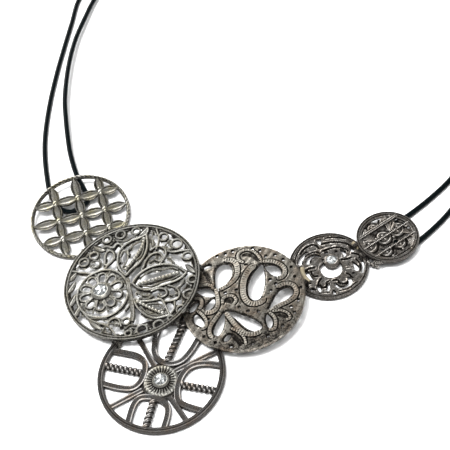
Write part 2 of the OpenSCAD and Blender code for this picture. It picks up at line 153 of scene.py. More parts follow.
# %% [markdown]
# Each strand is one length of 2 mm round leather: out of the clasp, down to the disc, through its
# bail and back. Leather cord is smooth, black and glossy, with a fine grain and faint lengthwise
# creases. It is a tube carried along a smooth curve, because its gloss runs along it.


# %% The cords' routes, in millimetres
LEFT_ROUTE = [
    (29, 200.2, 1.4), (20, 200.8, 1.1), (8, 200.6, 1.0), (-4, 197.8, 1.0), (-15, 192.8, 1.0),
    (-25, 185.6, 1.0), (-34, 176.0, 1.0), (-41.6, 165.0, 1.0), (-45.9, 149.5, 1.0), (-50.1, 134.2, 1.0),
    (-53.9, 119.6, 1.0), (-57.7, 102.3, 1.0), (-60.3, 85.6, 1.0), (-61.1, 72.0, 1.0), (-60.4, 56.4, 1.0),
    (-59.0, 49.8, 1.2), (-57.2, 45.4, 1.4), (-54.8, 42.4, 1.6), (-52.2, 41.2, 1.6), (-49.7, 42.0, 1.6),
    (-47.5, 43.0, 1.6), (-46.0, 44.6, 1.7), (-45.8, 47.6, 1.8), (-47.0, 51.6, 2.0), (-49.0, 58.4, 2.4),
    (-50.7, 70.5, 3.2), (-51.1, 86.9, 4.0), (-50.7, 100.4, 4.3), (-48.3, 118.1, 4.2), (-44.6, 134.4, 3.7),
    (-39.4, 149.0, 3.1), (-34.6, 160.8, 2.6), (-28.4, 172.0, 2.0), (-19.6, 182.0, 1.4),
    (-9.6, 189.6, 1.0), (2.0, 195.0, 1.0), (12, 197.4, 1.0), (21, 198.0, 1.1), (29, 197.8, 1.4)]
RIGHT_ROUTE = [
    (47, 197.8, 1.4), (56, 196.8, 1.1), (68, 192.6, 1.0), (80, 186.0, 1.0), (92, 177.0, 1.0),
    (103, 165.0, 1.0), (112, 151.4, 1.0), (118.4, 136.0, 1.0), (121.4, 119.0, 1.0), (120.6, 102.0, 1.0),
    (117.0, 85.0, 1.0), (111.4, 68.0, 1.0), (105.0, 52.4, 1.0), (97.4, 37.4, 1.0), (90.0, 26.8, 1.0),
    (85.1, 20.8, 1.0), (75.9, 14.2, 1.0), (67.2, 9.0, 1.2), (62.6, 6.8, 1.4), (59.6, 4.8, 1.6),
    (58.6, 2.4, 1.6), (58.6, 0.0, 1.6), (59.6, -2.6, 1.6), (62.0, -4.2, 1.5), (65.4, -4.0, 1.3),
    (76.1, 3.0, 1.0), (84.0, 9.8, 1.0), (92.6, 18.4, 1.0), (101.4, 29.4, 1.0), (110.0, 43.4, 1.0),
    (117.4, 59.4, 1.0), (123.4, 77.0, 1.0), (127.6, 96.0, 1.0), (129.0, 116.0, 1.0), (126.2, 137.0, 1.0),
    (119.0, 156.0, 1.0), (108.0, 171.6, 1.0), (94.0, 184.4, 1.0), (79.0, 193.4, 1.0), (62.0, 199.2, 1.0),
    (47, 200.2, 1.4)]
CORD_D = 2.0
print("the routes have", len(LEFT_ROUTE), "and", len(RIGHT_ROUTE), "points")


# %% Black leather
def nodes_of(material):
    """The node tree, its shader, and short helpers to add and join nodes."""
    material.use_nodes = True
    tree = material.node_tree
    shader = tree.nodes["Principled BSDF"]

    def node(kind, inputs=None, **settings):
        """Adds a node with its settings, and joins or fills in its inputs."""
        new = tree.nodes.new(kind)
        for key, value in settings.items():
            setattr(new, key, value)
        for key, value in (inputs or {}).items():
            if isinstance(value, bpy.types.NodeSocket):
                tree.links.new(value, new.inputs[key])
            else:
                new.inputs[key].default_value = value
        return new

    return tree, shader, node


def black_leather():
    """Dyed leather: near black with a trace of green-blue, a fine grain, and long thin creases."""
    material = bpy.data.materials.new("black_leather")
    tree, shader, node = nodes_of(material)
    uv = node("ShaderNodeUVMap", uv_map="along")
    stretch = node("ShaderNodeMapping", {"Vector": uv.outputs["UV"], "Scale": (0.16, 2.2, 1.0)})
    crease = node("ShaderNodeTexNoise", {"Vector": stretch.outputs[0], "Scale": 3.0, "Detail": 4.0,
                                         "Roughness": 0.6})
    place = node("ShaderNodeTexCoord")
    grain = node("ShaderNodeTexNoise", {"Vector": place.outputs["Object"], "Scale": 5200.0, "Detail": 2.0})
    tint = node("ShaderNodeValToRGB", {"Fac": crease.outputs["Fac"]})
    dark, light = tint.color_ramp.elements
    dark.position, dark.color = 0.3, (0.0008, 0.0016, 0.0020, 1)
    light.position, light.color = 0.75, (0.0030, 0.0052, 0.0060, 1)
    tree.links.new(tint.outputs["Color"], shader.inputs["Base Color"])
    rough = node("ShaderNodeMapRange", {"Value": crease.outputs["Fac"], "To Min": 0.18, "To Max": 0.3})
    tree.links.new(rough.outputs[0], shader.inputs["Roughness"])
    first = node("ShaderNodeBump", {"Height": grain.outputs["Fac"], "Strength": 0.2, "Distance": 0.00003})
    second = node("ShaderNodeBump", {"Height": crease.outputs["Fac"], "Strength": 0.35, "Distance": 0.0001,
                                     "Normal": first.outputs[0]})
    tree.links.new(second.outputs[0], shader.inputs["Normal"])
    shader.inputs["Specular IOR Level"].default_value = 0.08
    return material


leather = black_leather()
print("made the finish", leather.name)


# %% Cord tubes
def make_cord(name, route):
    """Ring (i, k) is the line's point i plus the radius times side and up at angle k. The UV runs
    in millimetres along and round the cord."""
    line = smooth(route, 1.0)
    line[:, 2] = np.maximum(line[:, 2], CORD_D / 2)
    side, up = frame_along(line, False)
    side[[0, -1]], up[[0, -1]] = side[[1, -2]], up[[1, -2]]
    sides = 20
    angle = 2 * np.pi * np.arange(sides) / sides
    ring = side[:, None] * np.cos(angle)[:, None] + up[:, None] * np.sin(angle)[:, None]
    points = (line[:, None] + CORD_D / 2 * ring).reshape(-1, 3)
    n = len(line)
    i, k = np.arange(n - 1)[:, None], np.arange(sides)[None]
    here, there, nxt = i * sides, (i + 1) * sides, (k + 1) % sides
    quads = np.stack([here + k, here + nxt, there + nxt, there + k], -1).reshape(-1, 4)
    caps = [list(range(sides - 1, -1, -1)), list(range((n - 1) * sides, n * sides))]
    piece = make_piece(name, points * MM, quads.tolist() + caps, leather, sharp=60)
    run = lengths(line)
    u = np.broadcast_to(np.stack([run[:-1], run[:-1], run[1:], run[1:]], -1)[:, None], (n - 1, sides, 4))
    v = (np.arange(sides)[:, None] + [[0, 1, 1, 0]]) * np.pi * CORD_D / sides
    uv = np.zeros((len(piece.data.loops), 2))
    uv[:4 * len(quads)] = np.stack([u, np.broadcast_to(v, u.shape)], -1).reshape(-1, 2)
    piece.data.uv_layers.new(name="along").data.foreach_set("uv", uv.ravel())
    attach(piece, "root")
    return piece, line


cords = []
for name, route in (("cord_left", LEFT_ROUTE), ("cord_right", RIGHT_ROUTE)):
    cord, line = make_cord(name + "_leather", route)
    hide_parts(name)
    cords.append((cord, line))
    print(name, "is", round(lengths(line)[-1], 1), "mm long")


# %% [markdown]
# The discs are antiqued: the whole casting is blackened, then the tops are polished bright again.
# The hollows could be found by a node that measures how enclosed a point is, but that is slow, and
# each form knows its own edges. So every surface carries a wear value, and one metal finish mixes
# a dark crust in the hollows with bright metal on the edges. On the paisley disc and the lattice's
# columns the same value also carries painted shade, and along the paisley's outer edge a painted
# highlight. Broad noise adds warm tarnish, and fine noise adds scratches.


# %% Antiqued silver
def antique_silver(name, bright, tarnish, warmth=0.8, polish=0.26, metallic=0.96, grain=1.2):
    """Bright metal where the wear value is high, dark crust where it is low, with warm tarnish patches.
    Painted shade and painted highlight ride on the same value.
    """
    material = bpy.data.materials.new(name)
    tree, shader, node = nodes_of(material)
    place = node("ShaderNodeTexCoord").outputs["Object"]
    worn = node("ShaderNodeAttribute", attribute_name="worn").outputs["Fac"]
    blotch = node("ShaderNodeTexNoise", {"Vector": place, "Scale": 260.0, "Detail": 3.0, "Roughness": 0.6})
    speck = node("ShaderNodeTexNoise", {"Vector": place, "Scale": 1900.0, "Detail": 3.0, "Roughness": 0.7})
    mottle = node("ShaderNodeMath", {0: speck.outputs["Fac"], 1: 0.5}, operation="SUBTRACT")
    scaled = node("ShaderNodeMath", {0: mottle.outputs[0], 1: grain}, operation="MULTIPLY")
    level = node("ShaderNodeMath", {0: worn, 1: scaled.outputs[0]}, operation="ADD")
    ramp = node("ShaderNodeMapRange", {"Value": level.outputs[0], "From Min": 0.1, "From Max": 0.7})
    ramp.interpolation_type = "SMOOTHSTEP"
    patch = node("ShaderNodeMapRange", {"Value": blotch.outputs["Fac"], "From Min": 0.42, "From Max": 0.68,
                                        "To Min": 0.0, "To Max": warmth})
    metal = node("ShaderNodeMix", {"Factor": patch.outputs[0]}, data_type="RGBA")
    colour_in = [s for s in metal.inputs if s.type == "RGBA"]
    colour_in[0].default_value, colour_in[1].default_value = (*bright, 1), (*tarnish, 1)
    mixed = node("ShaderNodeMix", data_type="RGBA")
    ends = [s for s in mixed.inputs if s.type == "RGBA"]
    tree.links.new(ramp.outputs[0], mixed.inputs["Factor"])
    ends[0].default_value = (0.035, 0.031, 0.027, 1)
    tree.links.new([s for s in metal.outputs if s.type == "RGBA"][0], ends[1])
    tree.links.new([s for s in mixed.outputs if s.type == "RGBA"][0], shader.inputs["Base Color"])
    rough = node("ShaderNodeMapRange", {"Value": ramp.outputs[0], "To Min": 0.6, "To Max": polish})
    tree.links.new(rough.outputs[0], shader.inputs["Roughness"])
    shader.inputs["Metallic"].default_value = metallic
    bump = node("ShaderNodeBump", {"Height": speck.outputs["Fac"], "Strength": 0.35, "Distance": 0.00007})
    tree.links.new(bump.outputs[0], shader.inputs["Normal"])
    return material


silver = antique_silver("antique_silver", (0.76, 0.74, 0.67), (0.58, 0.53, 0.34),
                        warmth=0.95, polish=0.22)
grey_silver = antique_silver("grey_silver", (0.61, 0.60, 0.55), (0.48, 0.44, 0.34), metallic=0.9)
arch_silver = antique_silver("arch_silver", (0.62, 0.59, 0.55), (0.46, 0.39, 0.32), polish=0.2)
charcoal_silver = antique_silver("charcoal_silver", (0.37, 0.36, 0.35), (0.34, 0.27, 0.21),
                                 polish=0.17, grain=0.55)
brown_silver = antique_silver("brown_silver", (0.64, 0.60, 0.52), (0.50, 0.39, 0.29),
                              polish=0.32, metallic=1.0, grain=1.5)
brass = antique_silver("tarnished_brass", (0.46, 0.41, 0.29), (0.36, 0.29, 0.19), metallic=0.5)
metals = (silver, grey_silver, arch_silver, charcoal_silver, brown_silver, brass)
print("the metal finishes are", [metal.name for metal in metals])


# %% [markdown]
# The stones look like clear ones set over foil, which throws light back out of them. Real glass
# could be modelled over a foil, but its sparkle needs many bounces of light and is lost when the
# finish is saved as a picture. A mirror whose facets differ in darkness gives the same look.


# %% Foil-backed stone
def foil_stone():
    """A clean mirror. Some facets of a real stone look dark, because light leaves through its back
    there, so each facet's colour is read from its own value."""
    material = bpy.data.materials.new("foil_stone")
    tree, shader, node = nodes_of(material)
    facet = node("ShaderNodeAttribute", attribute_name="facet").outputs["Fac"]
    tint = node("ShaderNodeValToRGB", {"Fac": facet})
    tint.color_ramp.elements[0].color = (0.10, 0.11, 0.11, 1)
    tint.color_ramp.elements[1].color = (0.86, 0.88, 0.88, 1)
    tree.links.new(tint.outputs["Color"], shader.inputs["Base Color"])
    shader.inputs["Metallic"].default_value = 0.74
    shader.inputs["Roughness"].default_value = 0.04
    return material


crystal = foil_stone()
print("made the finish", crystal.name)


# %% [markdown]
# Every disc has its own middle, tilt and turn, because the discs lie over one another like tiles.
# A motif may be turned in its disc's plane by another amount than the disc's links are.


# %% Where each disc lies: middle, tilt about X and Y, turn in its own plane
LATTICE = ((-48.8, 37.4, 3.0), 4.5, 1.5, 2.7)
FLORAL = ((-32.6, 2.3, 4.6), 0, -2.8, -4.6)
WHEEL = ((-27.1, -34.9, 1.5), 0, 0, -25)
PAISLEY = ((3.8, -13.7, 4.7), 0, -4, -4.6)
ARCH = ((34.6, -6.0, 1.65), 0, 0, -4.6)
BAR = ((56.6, -0.5, 3.6), 0, 0, 24.4)
LATTICE_R, FLORAL_R, WHEEL_R, PAISLEY_R, ARCH_R, BAR_R = 18.5, 24.0, 21.0, 21.0, 13.6, 10.7
MOTIF_TURN = -2.1
FLOWER_AT, HUB_AT, SETTING_AT = (-10.8, -2.4), (0.7, -2.4), (1.4, 1.4)  # in their disc's plane
radii = (LATTICE_R, FLORAL_R, WHEEL_R, PAISLEY_R, ARCH_R, BAR_R)
print("the discs are", [round(2 * r) for r in radii], "mm across")


# %% [markdown]
# A disc was cast in one, so its wires, sheet and grains are gathered in one mesh. They could be
# objects of their own that are joined at the end, but lists of points and faces are quicker. Each
# point also gets a wear value, from 0 in a hollow to 1 on a polished edge, which the finish reads.
# In a few places the same value also holds painted shade and a painted highlight.


# %% Castings
class Casting:
    """Gathers surfaces in millimetres, with a value per point from 0 in a hollow to 1 on an edge, which in
    places also holds painted shade and painted highlight.
    """

    def __init__(self):
        """Starts empty. The last number counts the groups of points that are already placed."""
        self.points, self.worn, self.faces, self.count, self.placed = [], [], [], 0, 0

    def add(self, points, quads, worn, caps=()):
        """Adds points, the quads between them, the wear and painted light of each, and the faces that close
        the ends.
        """
        self.points.append(np.asarray(points, float))
        self.worn.append(np.clip(np.broadcast_to(worn, len(points)).astype(float), 0, 1))
        self.faces += (np.asarray(quads) + self.count).tolist()
        self.faces += [[i + self.count for i in cap] for cap in caps]
        self.count += len(points)

    def place(self, at, motif_turn=None):
        """Turns, tilts and moves what was added since the last call to where its disc lies."""
        (x, y, z), tilt_x, tilt_y, turn = at
        turn = turn if motif_turn is None else motif_turn
        pose = Matrix.Translation((x, y, z))
        for angle, axis in ((tilt_x, "X"), (tilt_y, "Y"), (turn, "Z")):
            pose = pose @ Matrix.Rotation(np.radians(angle), 4, axis)
        pose = np.array(pose)
        self.points[self.placed:] = [p @ pose[:3, :3].T + pose[:3, 3] for p in self.points[self.placed:]]
        self.placed = len(self.points)

    def finish(self, name, material, sharp=38):
        """Puts the gathered millimetres in a mesh, in metres."""
        points, worn = np.vstack(self.points) * MM, np.concatenate(self.worn)
        return make_piece(name, points, self.faces, material, worn, sharp)


# %% [markdown]
# Small links join the discs where their edges cross. They are almost hidden, so each is a folded
# strap, soldered under the upper disc, with the lower disc's rim inside it. It is a flat section
# carried round a box with round corners, and the same form makes the two bails for the cord.


# %% Folded straps
def hoop(work, spot, turn, low, high, inner_w, long, wall):
    """A folded strap: a box frame with round corners, whose path is a corner's middle plus the
    corner radius times (cos, sin), with a small rounded section carried round it."""
    corner = 0.45
    t = np.radians(np.concatenate([np.linspace(a + 3, a + 87, 5) for a in (0, 90, 180, 270)]))
    half_w, half_h = inner_w / 2 + wall / 2 - corner, (high - low - wall) / 2 - corner
    out = np.stack([np.cos(t), 0 * t, np.sin(t)], -1)
    box = np.stack([half_w * np.sign(np.cos(t)), 0 * t, half_h * np.sign(np.sin(t))], -1)
    path = out * corner + box
    path[:, 2] += (low + high) / 2
    a = wall / 2 * np.array([1, 1, 0.6, -0.6, -1, -1, -0.6, 0.6])
    b = long / 2 * np.array([-0.8, 0.8, 1, 1, 0.8, -0.8, -1, -1])
    grid = path[:, None] + out[:, None] * a[:, None] + np.array([0, 1.0, 0]) * b[:, None]
    c, s = np.cos(np.radians(turn)), np.sin(np.radians(turn))
    x, y, z = np.moveaxis(grid, -1, 0)
    grid = np.stack([spot[0] + c * x - s * y, spot[1] + s * x + c * y, z], -1)
    n, k = grid.shape[:2]
    i, j = np.arange(n)[:, None], np.arange(k)[None]
    onward = (i + 1) % n
    quads = np.stack([i * k + j, i * k + (j + 1) % k, onward * k + (j + 1) % k, onward * k + j], -1)
    work.add(grid.reshape(-1, 3), quads.reshape(-1, 4), np.tile(0.05 + 0.15 * (a > 0), n))


sample = Casting()
hoop(sample, (0, 0), 0, 0, 3, 2, 1.4, 0.5)
print("a strap has", sample.count, "points")


# %% Links between two discs
LINK_W, LINK_IN, LINK_LONG, GAP, WALL = 1.9, 0.5, 1.4, 0.14, 0.5
CORD_ROOM = CORD_D + 0.3
CORD_BAIL = (0, CORD_ROOM + 2 * WALL, CORD_ROOM, LINK_LONG, WALL)  # low, high, inner width, length, wall


def plane_z(at, spot):
    """Height of a tilted disc's middle plane over a spot: each tilt's tangent times the distance."""
    (x, y, z), tilt_x, tilt_y, _ = at
    return z + (spot[1] - y) * np.tan(np.radians(tilt_x)) - (spot[0] - x) * np.tan(np.radians(tilt_y))


def add_links(work, low, low_r, low_half, high, high_r):
    """A folded strap at each crossing of two discs' edges, from under the lower disc to the upper
    one. The crossing's direction is the line of middles plus or minus an angle of the triangle
    whose sides are the two radii and the distance."""
    run = np.subtract(high[0][:2], low[0][:2])
    far, a, b = np.linalg.norm(run), low_r - LINK_IN, high_r - LINK_IN
    swing = np.degrees(np.arccos((far**2 + a**2 - b**2) / (2 * far * a)))
    for side in (-1, 1):
        turn = np.degrees(np.arctan2(run[1], run[0])) + side * swing
        way = np.array([np.cos(np.radians(turn)), np.sin(np.radians(turn))])
        spot = np.array(low[0][:2]) + (low_r - LINK_W / 2) * way
        bottom, top = plane_z(low, spot) - low_half - GAP - WALL, plane_z(high, spot)
        hoop(work, spot, turn, bottom, top, LINK_W + 2 * GAP, LINK_LONG, WALL)


def set_in_place(work, name, node, material):
    """Finishes a casting as the piece that stands where a node stands."""
    piece = work.finish(name, material)
    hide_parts(node)
    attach(piece, "root")
    return piece


# %% [markdown]
# A round stone is cut as a brilliant: a flat table, a crown of kite and star facets, a thin girdle
# and a pointed underside. It sits in a bezel, a small cup whose collar slopes away from the
# girdle. It could be a sphere cut by planes, but rings of corners joined by flat faces say where
# each facet ends, and keep it flat.


# %% Cut stones
def cut_stone(name, node, at, centre, radius, top):
    """Rings of 8, 8 and 16 corners at heights set by the radius, joined by flat facets. The table is
    cut in eight, its corners a little up and down by turns, as the facets under it appear."""
    t8 = 2 * np.pi * np.arange(8) / 8
    t16 = 2 * np.pi * np.arange(16) / 16
    girdle, crown = top - 0.28 * radius, top - 0.12 * radius

    def ring(t, r, z):
        """Corners at the middle plus r times (cos, sin), all at one height."""
        return np.column_stack([centre[0] + r * np.cos(t), centre[1] + r * np.sin(t), np.full(len(t), z)])

    wave = 0.06 * radius * (-1) ** np.arange(8)
    table = ring(t8, 0.55 * radius, top - 0.06 * radius) + wave[:, None] * [0, 0, 1]
    points = np.vstack([table, ring(t8 + np.pi / 8, 0.80 * radius, crown),
                        ring(t16, radius, girdle), ring(t16, radius, girdle - 0.1),
                        [[centre[0], centre[1], girdle - 0.1 - 0.75 * radius * 0.6]],
                        [[centre[0] + 0.06 * radius, centre[1] - 0.1 * radius, top - 0.06 * radius]]])
    # Corners 0 to 7 are the table's, 8 to 15 the crown's, then two rings of 16 for the girdle.
    crown_at, girdle_at, point, table_middle = 8, 16, 48, 49
    faces = [[table_middle, k, (k + 1) % 8] for k in range(8)]
    for k in range(8):
        c, before, after = crown_at + k, crown_at + (k - 1) % 8, (k + 1) % 8
        g, g_next, g_last = (girdle_at + (2 * k + j) % 16 for j in range(3))
        faces += [[k, c, after], [k, before, g, c], [c, g, g_next], [c, g_next, g_last]]
    for k in range(16):
        a, b = girdle_at + k, girdle_at + (k + 1) % 16
        faces += [[a, a + 16, b + 16, b], [a + 16, point, b + 16]]
    stone = Casting()
    stone.add(points, np.zeros((0, 4), int), 1.0, faces)
    stone.place(at, MOTIF_TURN if at is not WHEEL else None)
    piece = stone.finish(name, crystal, sharp=4)
    # Each facet's painted shade and painted reflection: dark where a real stone lets the light out through
    # its back, bright where it throws it back.
    shades = [0.15, 0.8, 0.45, 0.95, 0.2, 0.9, 0.3, 0.7] + [0.7, 0.2, 0.9, 0.5] * 8 + [0.6] * 32
    piece.data.attributes.new("facet", "FLOAT", "FACE").data.foreach_set("value", shades)
    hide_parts(node)
    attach(piece, "root")


cut_stone("flower_stone", "floral_stone", FLORAL, FLOWER_AT, 2.4, 2.1)
cut_stone("hub_stone", "wheel_stone", WHEEL, HUB_AT, 2.1, 1.9)
cut_stone("arch_setting_stone", "arch_stone", ARCH, SETTING_AT, 1.8, 1.8)


# %% [markdown]
# Most of a disc is drawn with lines, and each line gets a body, such as a twisted wire, a flat
# ribbon or a scooped leaf. A Blender curve with a bevel could draw a plain wire, but here the
# section changes on the way. So one function carries a section along a line, and each kind of
# body only says how its section varies.


# %% Lofts and wires
def loft(work, line, section, worn, closed=False):
    """Carries a section along a line: point (i, k) is line i plus side times its first
    coordinate plus up times its second."""
    line = np.asarray(line, float)
    if line.shape[1] == 2:
        line = np.column_stack([line, np.zeros(len(line))])
    side, up = frame_along(line, closed)
    section = np.broadcast_to(section, (len(line), *section.shape[-2:]))
    n, k = section.shape[:2]
    grid = line[:, None] + side[:, None] * section[..., :1] + up[:, None] * section[..., 1:]
    i = np.arange(n if closed else n - 1)[:, None]
    j = np.arange(k)[None]
    here, there = (i % n) * k, ((i + 1) % n) * k
    quads = np.stack([here + j, here + (j + 1) % k, there + (j + 1) % k, there + j], -1).reshape(-1, 4)
    caps = () if closed else (range(k - 1, -1, -1), range((n - 1) * k, n * k))
    work.add(grid.reshape(-1, 3), quads, np.broadcast_to(worn, (n, k)).ravel(), caps)


def wire(work, line, width, height=None, z=0.0, closed=False, sides=9, kind="plain",
         pitch=1.2, deep=0.3, bright=1.0):
    """A wire: the section is an ellipse. Twisted wire has two strands, so its radius follows
    the absolute cosine of an angle that turns with length; beaded wire swells along it."""
    height = width if height is None else height
    sides = 14 if kind == "twisted" else sides
    angle = -np.pi / 2 + 2 * np.pi * (np.arange(sides) + 0.5) / sides
    run = lengths(line)[:, None]
    swell = np.ones((len(line), sides))
    strand = swell
    if kind == "twisted":
        strand = np.abs(np.cos(angle - np.pi * run / pitch))
        swell = 1 - deep * (1 - strand)
    if kind == "beaded":
        strand = swell * np.sqrt(np.clip(1 - (2 * (run / pitch % 1) - 1) ** 2, 0, 1))
        swell = 0.45 + 0.55 * strand
    section = np.stack([width / 2 * swell * np.cos(angle), z + height / 2 * swell * np.sin(angle)], -1)
    worn = bright * np.clip(0.3 + 0.9 * np.sin(angle), 0, 1) * (0.1 + 0.9 * strand**1.5)
    loft(work, line, section, worn, closed)


sample = Casting()
wire(sample, even(np.array([(0, 0), (10, 0)], float), 0.13), 1.0, kind="twisted", pitch=1.7)
print("10 mm of twisted wire has", sample.count, "points")


# %% Scooped leaves
def petal(work, a, b, width, scoop, vein, bend, z=0.0, shine=1.0):
    """A scooped pointed oval: its half width is where two circles cross, its top dips with one
    minus a power of the place across, and a vein stands in the middle. A power near one gives
    two flat slopes. A dark groove runs inside its border."""
    a, b = np.asarray(a, float), np.asarray(b, float)
    long = np.linalg.norm(b - a)
    line = even(np.vstack([a, b]), long / 24)
    u = (lengths(line) / long - 0.5) * long
    bow = (long**2 + width**2) / (4 * width)
    half = np.maximum(np.sqrt(bow**2 - u**2) - (bow - width / 2), 0.2)[:, None]
    near_side = np.array([0.07, 0.36, 0.64, 0.74, 0.84, 0.93, 1])
    v = np.r_[-near_side[::-1], near_side]
    far, thick = np.abs(v), 1.0
    deep = np.clip(half / (width / 2), 0, 1)
    bowl = np.clip(1 - (far / 0.8) ** bend, 0, 1)
    border, groove, middle = far > 0.97, (far > 0.6) & (far < 0.8), far < 0.1
    top = z + thick / 2 - scoop * deep * bowl - 0.14 * border - 0.12 * groove + vein * deep * middle
    low = z - thick / 2 + 0 * half
    x = np.concatenate([half * v, half * [1.0, 0.7, -0.7, -1.0]], 1)
    y = np.concatenate([top, low + 0.15, low, low, low + 0.15], 1)
    worn = np.r_[shine - (shine - 0.05) * groove + 0.15 * middle - 0.4 * border, 0, 0, 0, 0]
    loft(work, line, np.stack([x[:, ::-1], y[:, ::-1]], -1), np.broadcast_to(worn, x.shape)[:, ::-1])


sample = Casting()
petal(sample, (0, 0), (8, 0), 4.0, scoop=0.5, vein=0.2, bend=1.5)
print("a leaf has", sample.count, "points")


# %% [markdown]
# Rims, soldered grains and cups are round, as if turned on a lathe. Blender's Spin could make
# them, but a grid of angles and outline points also takes flutes, and its faces point outwards
# as soon as the outline is given in the right order.


# %% Turned forms
def turned(work, centre, radius, height, worn, sides=96, flutes=0, depth=0.0, ring=True):
    """A turned form: its outline goes up the outside and over the top. A ring closes on itself,
    any other outline ends in a small flat at each pole. Flutes dip with the cosine of the angle."""
    r, z, w = (np.asarray(v, float) for v in (radius, height, worn))
    t = 2 * np.pi * np.arange(sides)[:, None] / sides
    dip = np.asarray(depth) * (0.5 - 0.5 * np.cos(flutes * t))
    grid = np.stack([centre[0] + r * np.cos(t), centre[1] + r * np.sin(t), z - dip + 0 * t], -1)
    k = len(r)
    i, j = np.arange(sides)[:, None], np.arange(k if ring else k - 1)[None]
    onward = (i + 1) % sides
    quads = np.stack([i * k + j, onward * k + j, onward * k + (j + 1) % k, i * k + (j + 1) % k], -1)
    caps = () if ring else (range((sides - 1) * k, -1, -k), range(k - 1, sides * k, k))
    work.add(grid.reshape(-1, 3), quads.reshape(-1, 4), (w - 1.6 * dip + 0 * t).ravel(), caps)


def rim(work, inner, outer, low, high, dip, shine, sides=150):
    """A disc's edge: an upright ring about the middle, with a shallow turned line in its top."""
    wide, soft = outer - inner, 0.13
    across = [outer, outer, outer - soft, outer - 0.34 * wide, outer - 0.5 * wide,
              outer - 0.66 * wide, inner + soft, inner, inner, inner + soft, outer - soft]
    up = [low + soft, high - soft, high, high - 0.02, high - dip, high - 0.02, high, high - soft,
          low + soft, low, low]
    worn = [0.08, 0.2, 1.2 * shine, 0.6 * shine, 0.1, 0.6 * shine, 1.3 * shine, 0.3, 0.05, 0.1, 0.1]
    turned(work, (0, 0), across, up, worn, sides)


def ball(work, centre, radius, flat=1.0, shine=0.55):
    """A soldered grain: half a circle turned about its own axis, pressed flat by a factor."""
    a = np.linspace(-np.pi / 2, np.pi / 2, 9)[1:-1]
    height = centre[2] + flat * radius * np.sin(a)
    turned(work, centre, radius * np.cos(a), height, shine * (1 + 1.1 * np.sin(a)), 12, ring=False)


sample = Casting()
ball(sample, (0, 0, 0), 1.0)
print("a soldered grain has", sample.count, "points")


# %% [markdown]
# The upper left disc is a grid of scooped leaves in a ring with a twisted wire on top. Three rows
# and three columns of leaves cross at soldered grains. Each leaf is a short loft whose section is
# a dish with a vein, because the light catches the slope of the dish that faces it.


# %% Lattice disc
def crossing(i, j):
    """Middle of a crossing: the columns lean to the right going down."""
    return np.array([0.7 + 8.6 * i - 0.45 * j, -0.3 + 0.4 * i + 8.2 * j])


def out_to_ring(a, b, radius):
    """Carries on from a through b to where the length from the middle is the radius."""
    step = (b - a) / np.linalg.norm(b - a)
    along = b @ step
    return b + step * (np.sqrt(along**2 - b @ b + radius**2) - along)


def from_rim_to_rim(spots, radius):
    """Three crossings on a line, and where that line meets the rim at either end."""
    first, middle, last = spots
    return [out_to_ring(middle, first, radius), *spots, out_to_ring(middle, last, radius)]


def lattice_disc():
    """The rim, a twisted wire on it, three rows and three columns of leaves from rim to rim, and
    grains where they cross. Rows are scooped more than columns, the columns carry painted shade,
    and every leaf differs a little."""
    work = Casting()
    rim(work, LATTICE_R - 1.35, LATTICE_R, -0.8, 0.3, dip=0.0, shine=0.3)
    wire(work, round_line((0, 0), LATTICE_R - 0.62, 0.16), 0.9, z=0.36, closed=True, kind="twisted",
         pitch=1.7, deep=0.12)
    inside = LATTICE_R - 1.1
    for k in (-1, 0, 1):
        row = from_rim_to_rim([crossing(i, k) for i in (-1, 0, 1)], inside)
        column = from_rim_to_rim([crossing(k, j) for j in (-1, 0, 1)], inside)
        for a, b in zip(row, row[1:]):
            ends = [(*spot, rng.uniform(-0.15, 0.3)) for spot in (a, b)]
            petal(work, *ends, 4.2, scoop=rng.uniform(0.5, 0.66), vein=0.12, bend=rng.uniform(1.05, 1.5))
        for a, b in zip(column, column[1:]):
            # Columns get a lower wear value than rows: painted shade, and a rougher finish.
            petal(work, a, b, 3.8, scoop=rng.uniform(0.25, 0.45), vein=0.2, bend=rng.uniform(1.3, 2.2),
                  shine=rng.uniform(0.42, 0.62))
        for i in (-1, 0, 1):
            ball(work, (*crossing(i, k), 0.5), 1.05, 0.55)
            ball(work, (*(crossing(i, k) + (0.05, -1.0)), 0.45), 0.7, 0.7)
    ball(work, (8.5, 10.0, 0.5), 0.6)
    work.place(LATTICE)
    hoop(work, (-48.6, 42.5), 115, *CORD_BAIL)
    set_in_place(work, "leaf_lattice", "lattice_disc", silver)


lattice_disc()


# %% [markdown]
# The lowest disc is built like a wheel. Flat bands with raised borders make four loops from the
# ring to the hub, with a twisted bar inside each, and four grooved spokes run between them. The
# hub is a turned saucer with flutes, and it carries a bezel. It could be part of the same mesh,
# but it was polished more than the bands, so it is a piece with a finish of its own.


# %% Ribbons
def ribbon(work, line, width, low, high, crown=0.12, closed=False, hatch=0.0, pitch=0.6,
           edge=0.0, shine=0.75):
    """A flat strip: a box section whose top falls from its middle with the square of the place
    across. Hatching lowers it with a squared cosine of length, and an edge raises its two
    borders."""
    v = np.array([-1, -0.88, -0.66, -0.3, 0.3, 0.66, 0.88, 1])
    run = lengths(line)[:, None]
    width = np.broadcast_to(width, len(line))[:, None]
    wave = (0.5 + 0.5 * np.cos(2 * np.pi * run / pitch)) ** 2
    inside = np.abs(v) < 0.8
    border = np.exp(-((np.abs(v) - 0.88) / 0.16) ** 2)
    top = high - crown * v**2 + edge * border - hatch * wave * inside
    top = np.broadcast_to(top, (len(line), len(v)))
    corners = np.array([1, 1, -1, -1])
    x = np.concatenate([v * width / 2, corners * width / 2], 1)
    y = np.concatenate([top, top[:, -1:] - 0.1, np.full((len(line), 2), low), top[:, :1] - 0.1], 1)
    worn = shine - 0.85 * wave * inside * (hatch > 0) + (0.35 * border - 0.2) * (edge > 0)
    worn = np.broadcast_to(worn, (len(line), len(v)))
    worn = np.concatenate([worn, np.full((len(line), len(corners)), 0.08)], 1)
    loft(work, line, np.stack([x[:, ::-1], y[:, ::-1]], -1), worn[:, ::-1], closed)


sample = Casting()
ribbon(sample, even(np.array([(0, 0), (10, 0)], float), 0.3), 1.95, -0.6, 0.55)
print("10 mm of ribbon has", sample.count, "points")
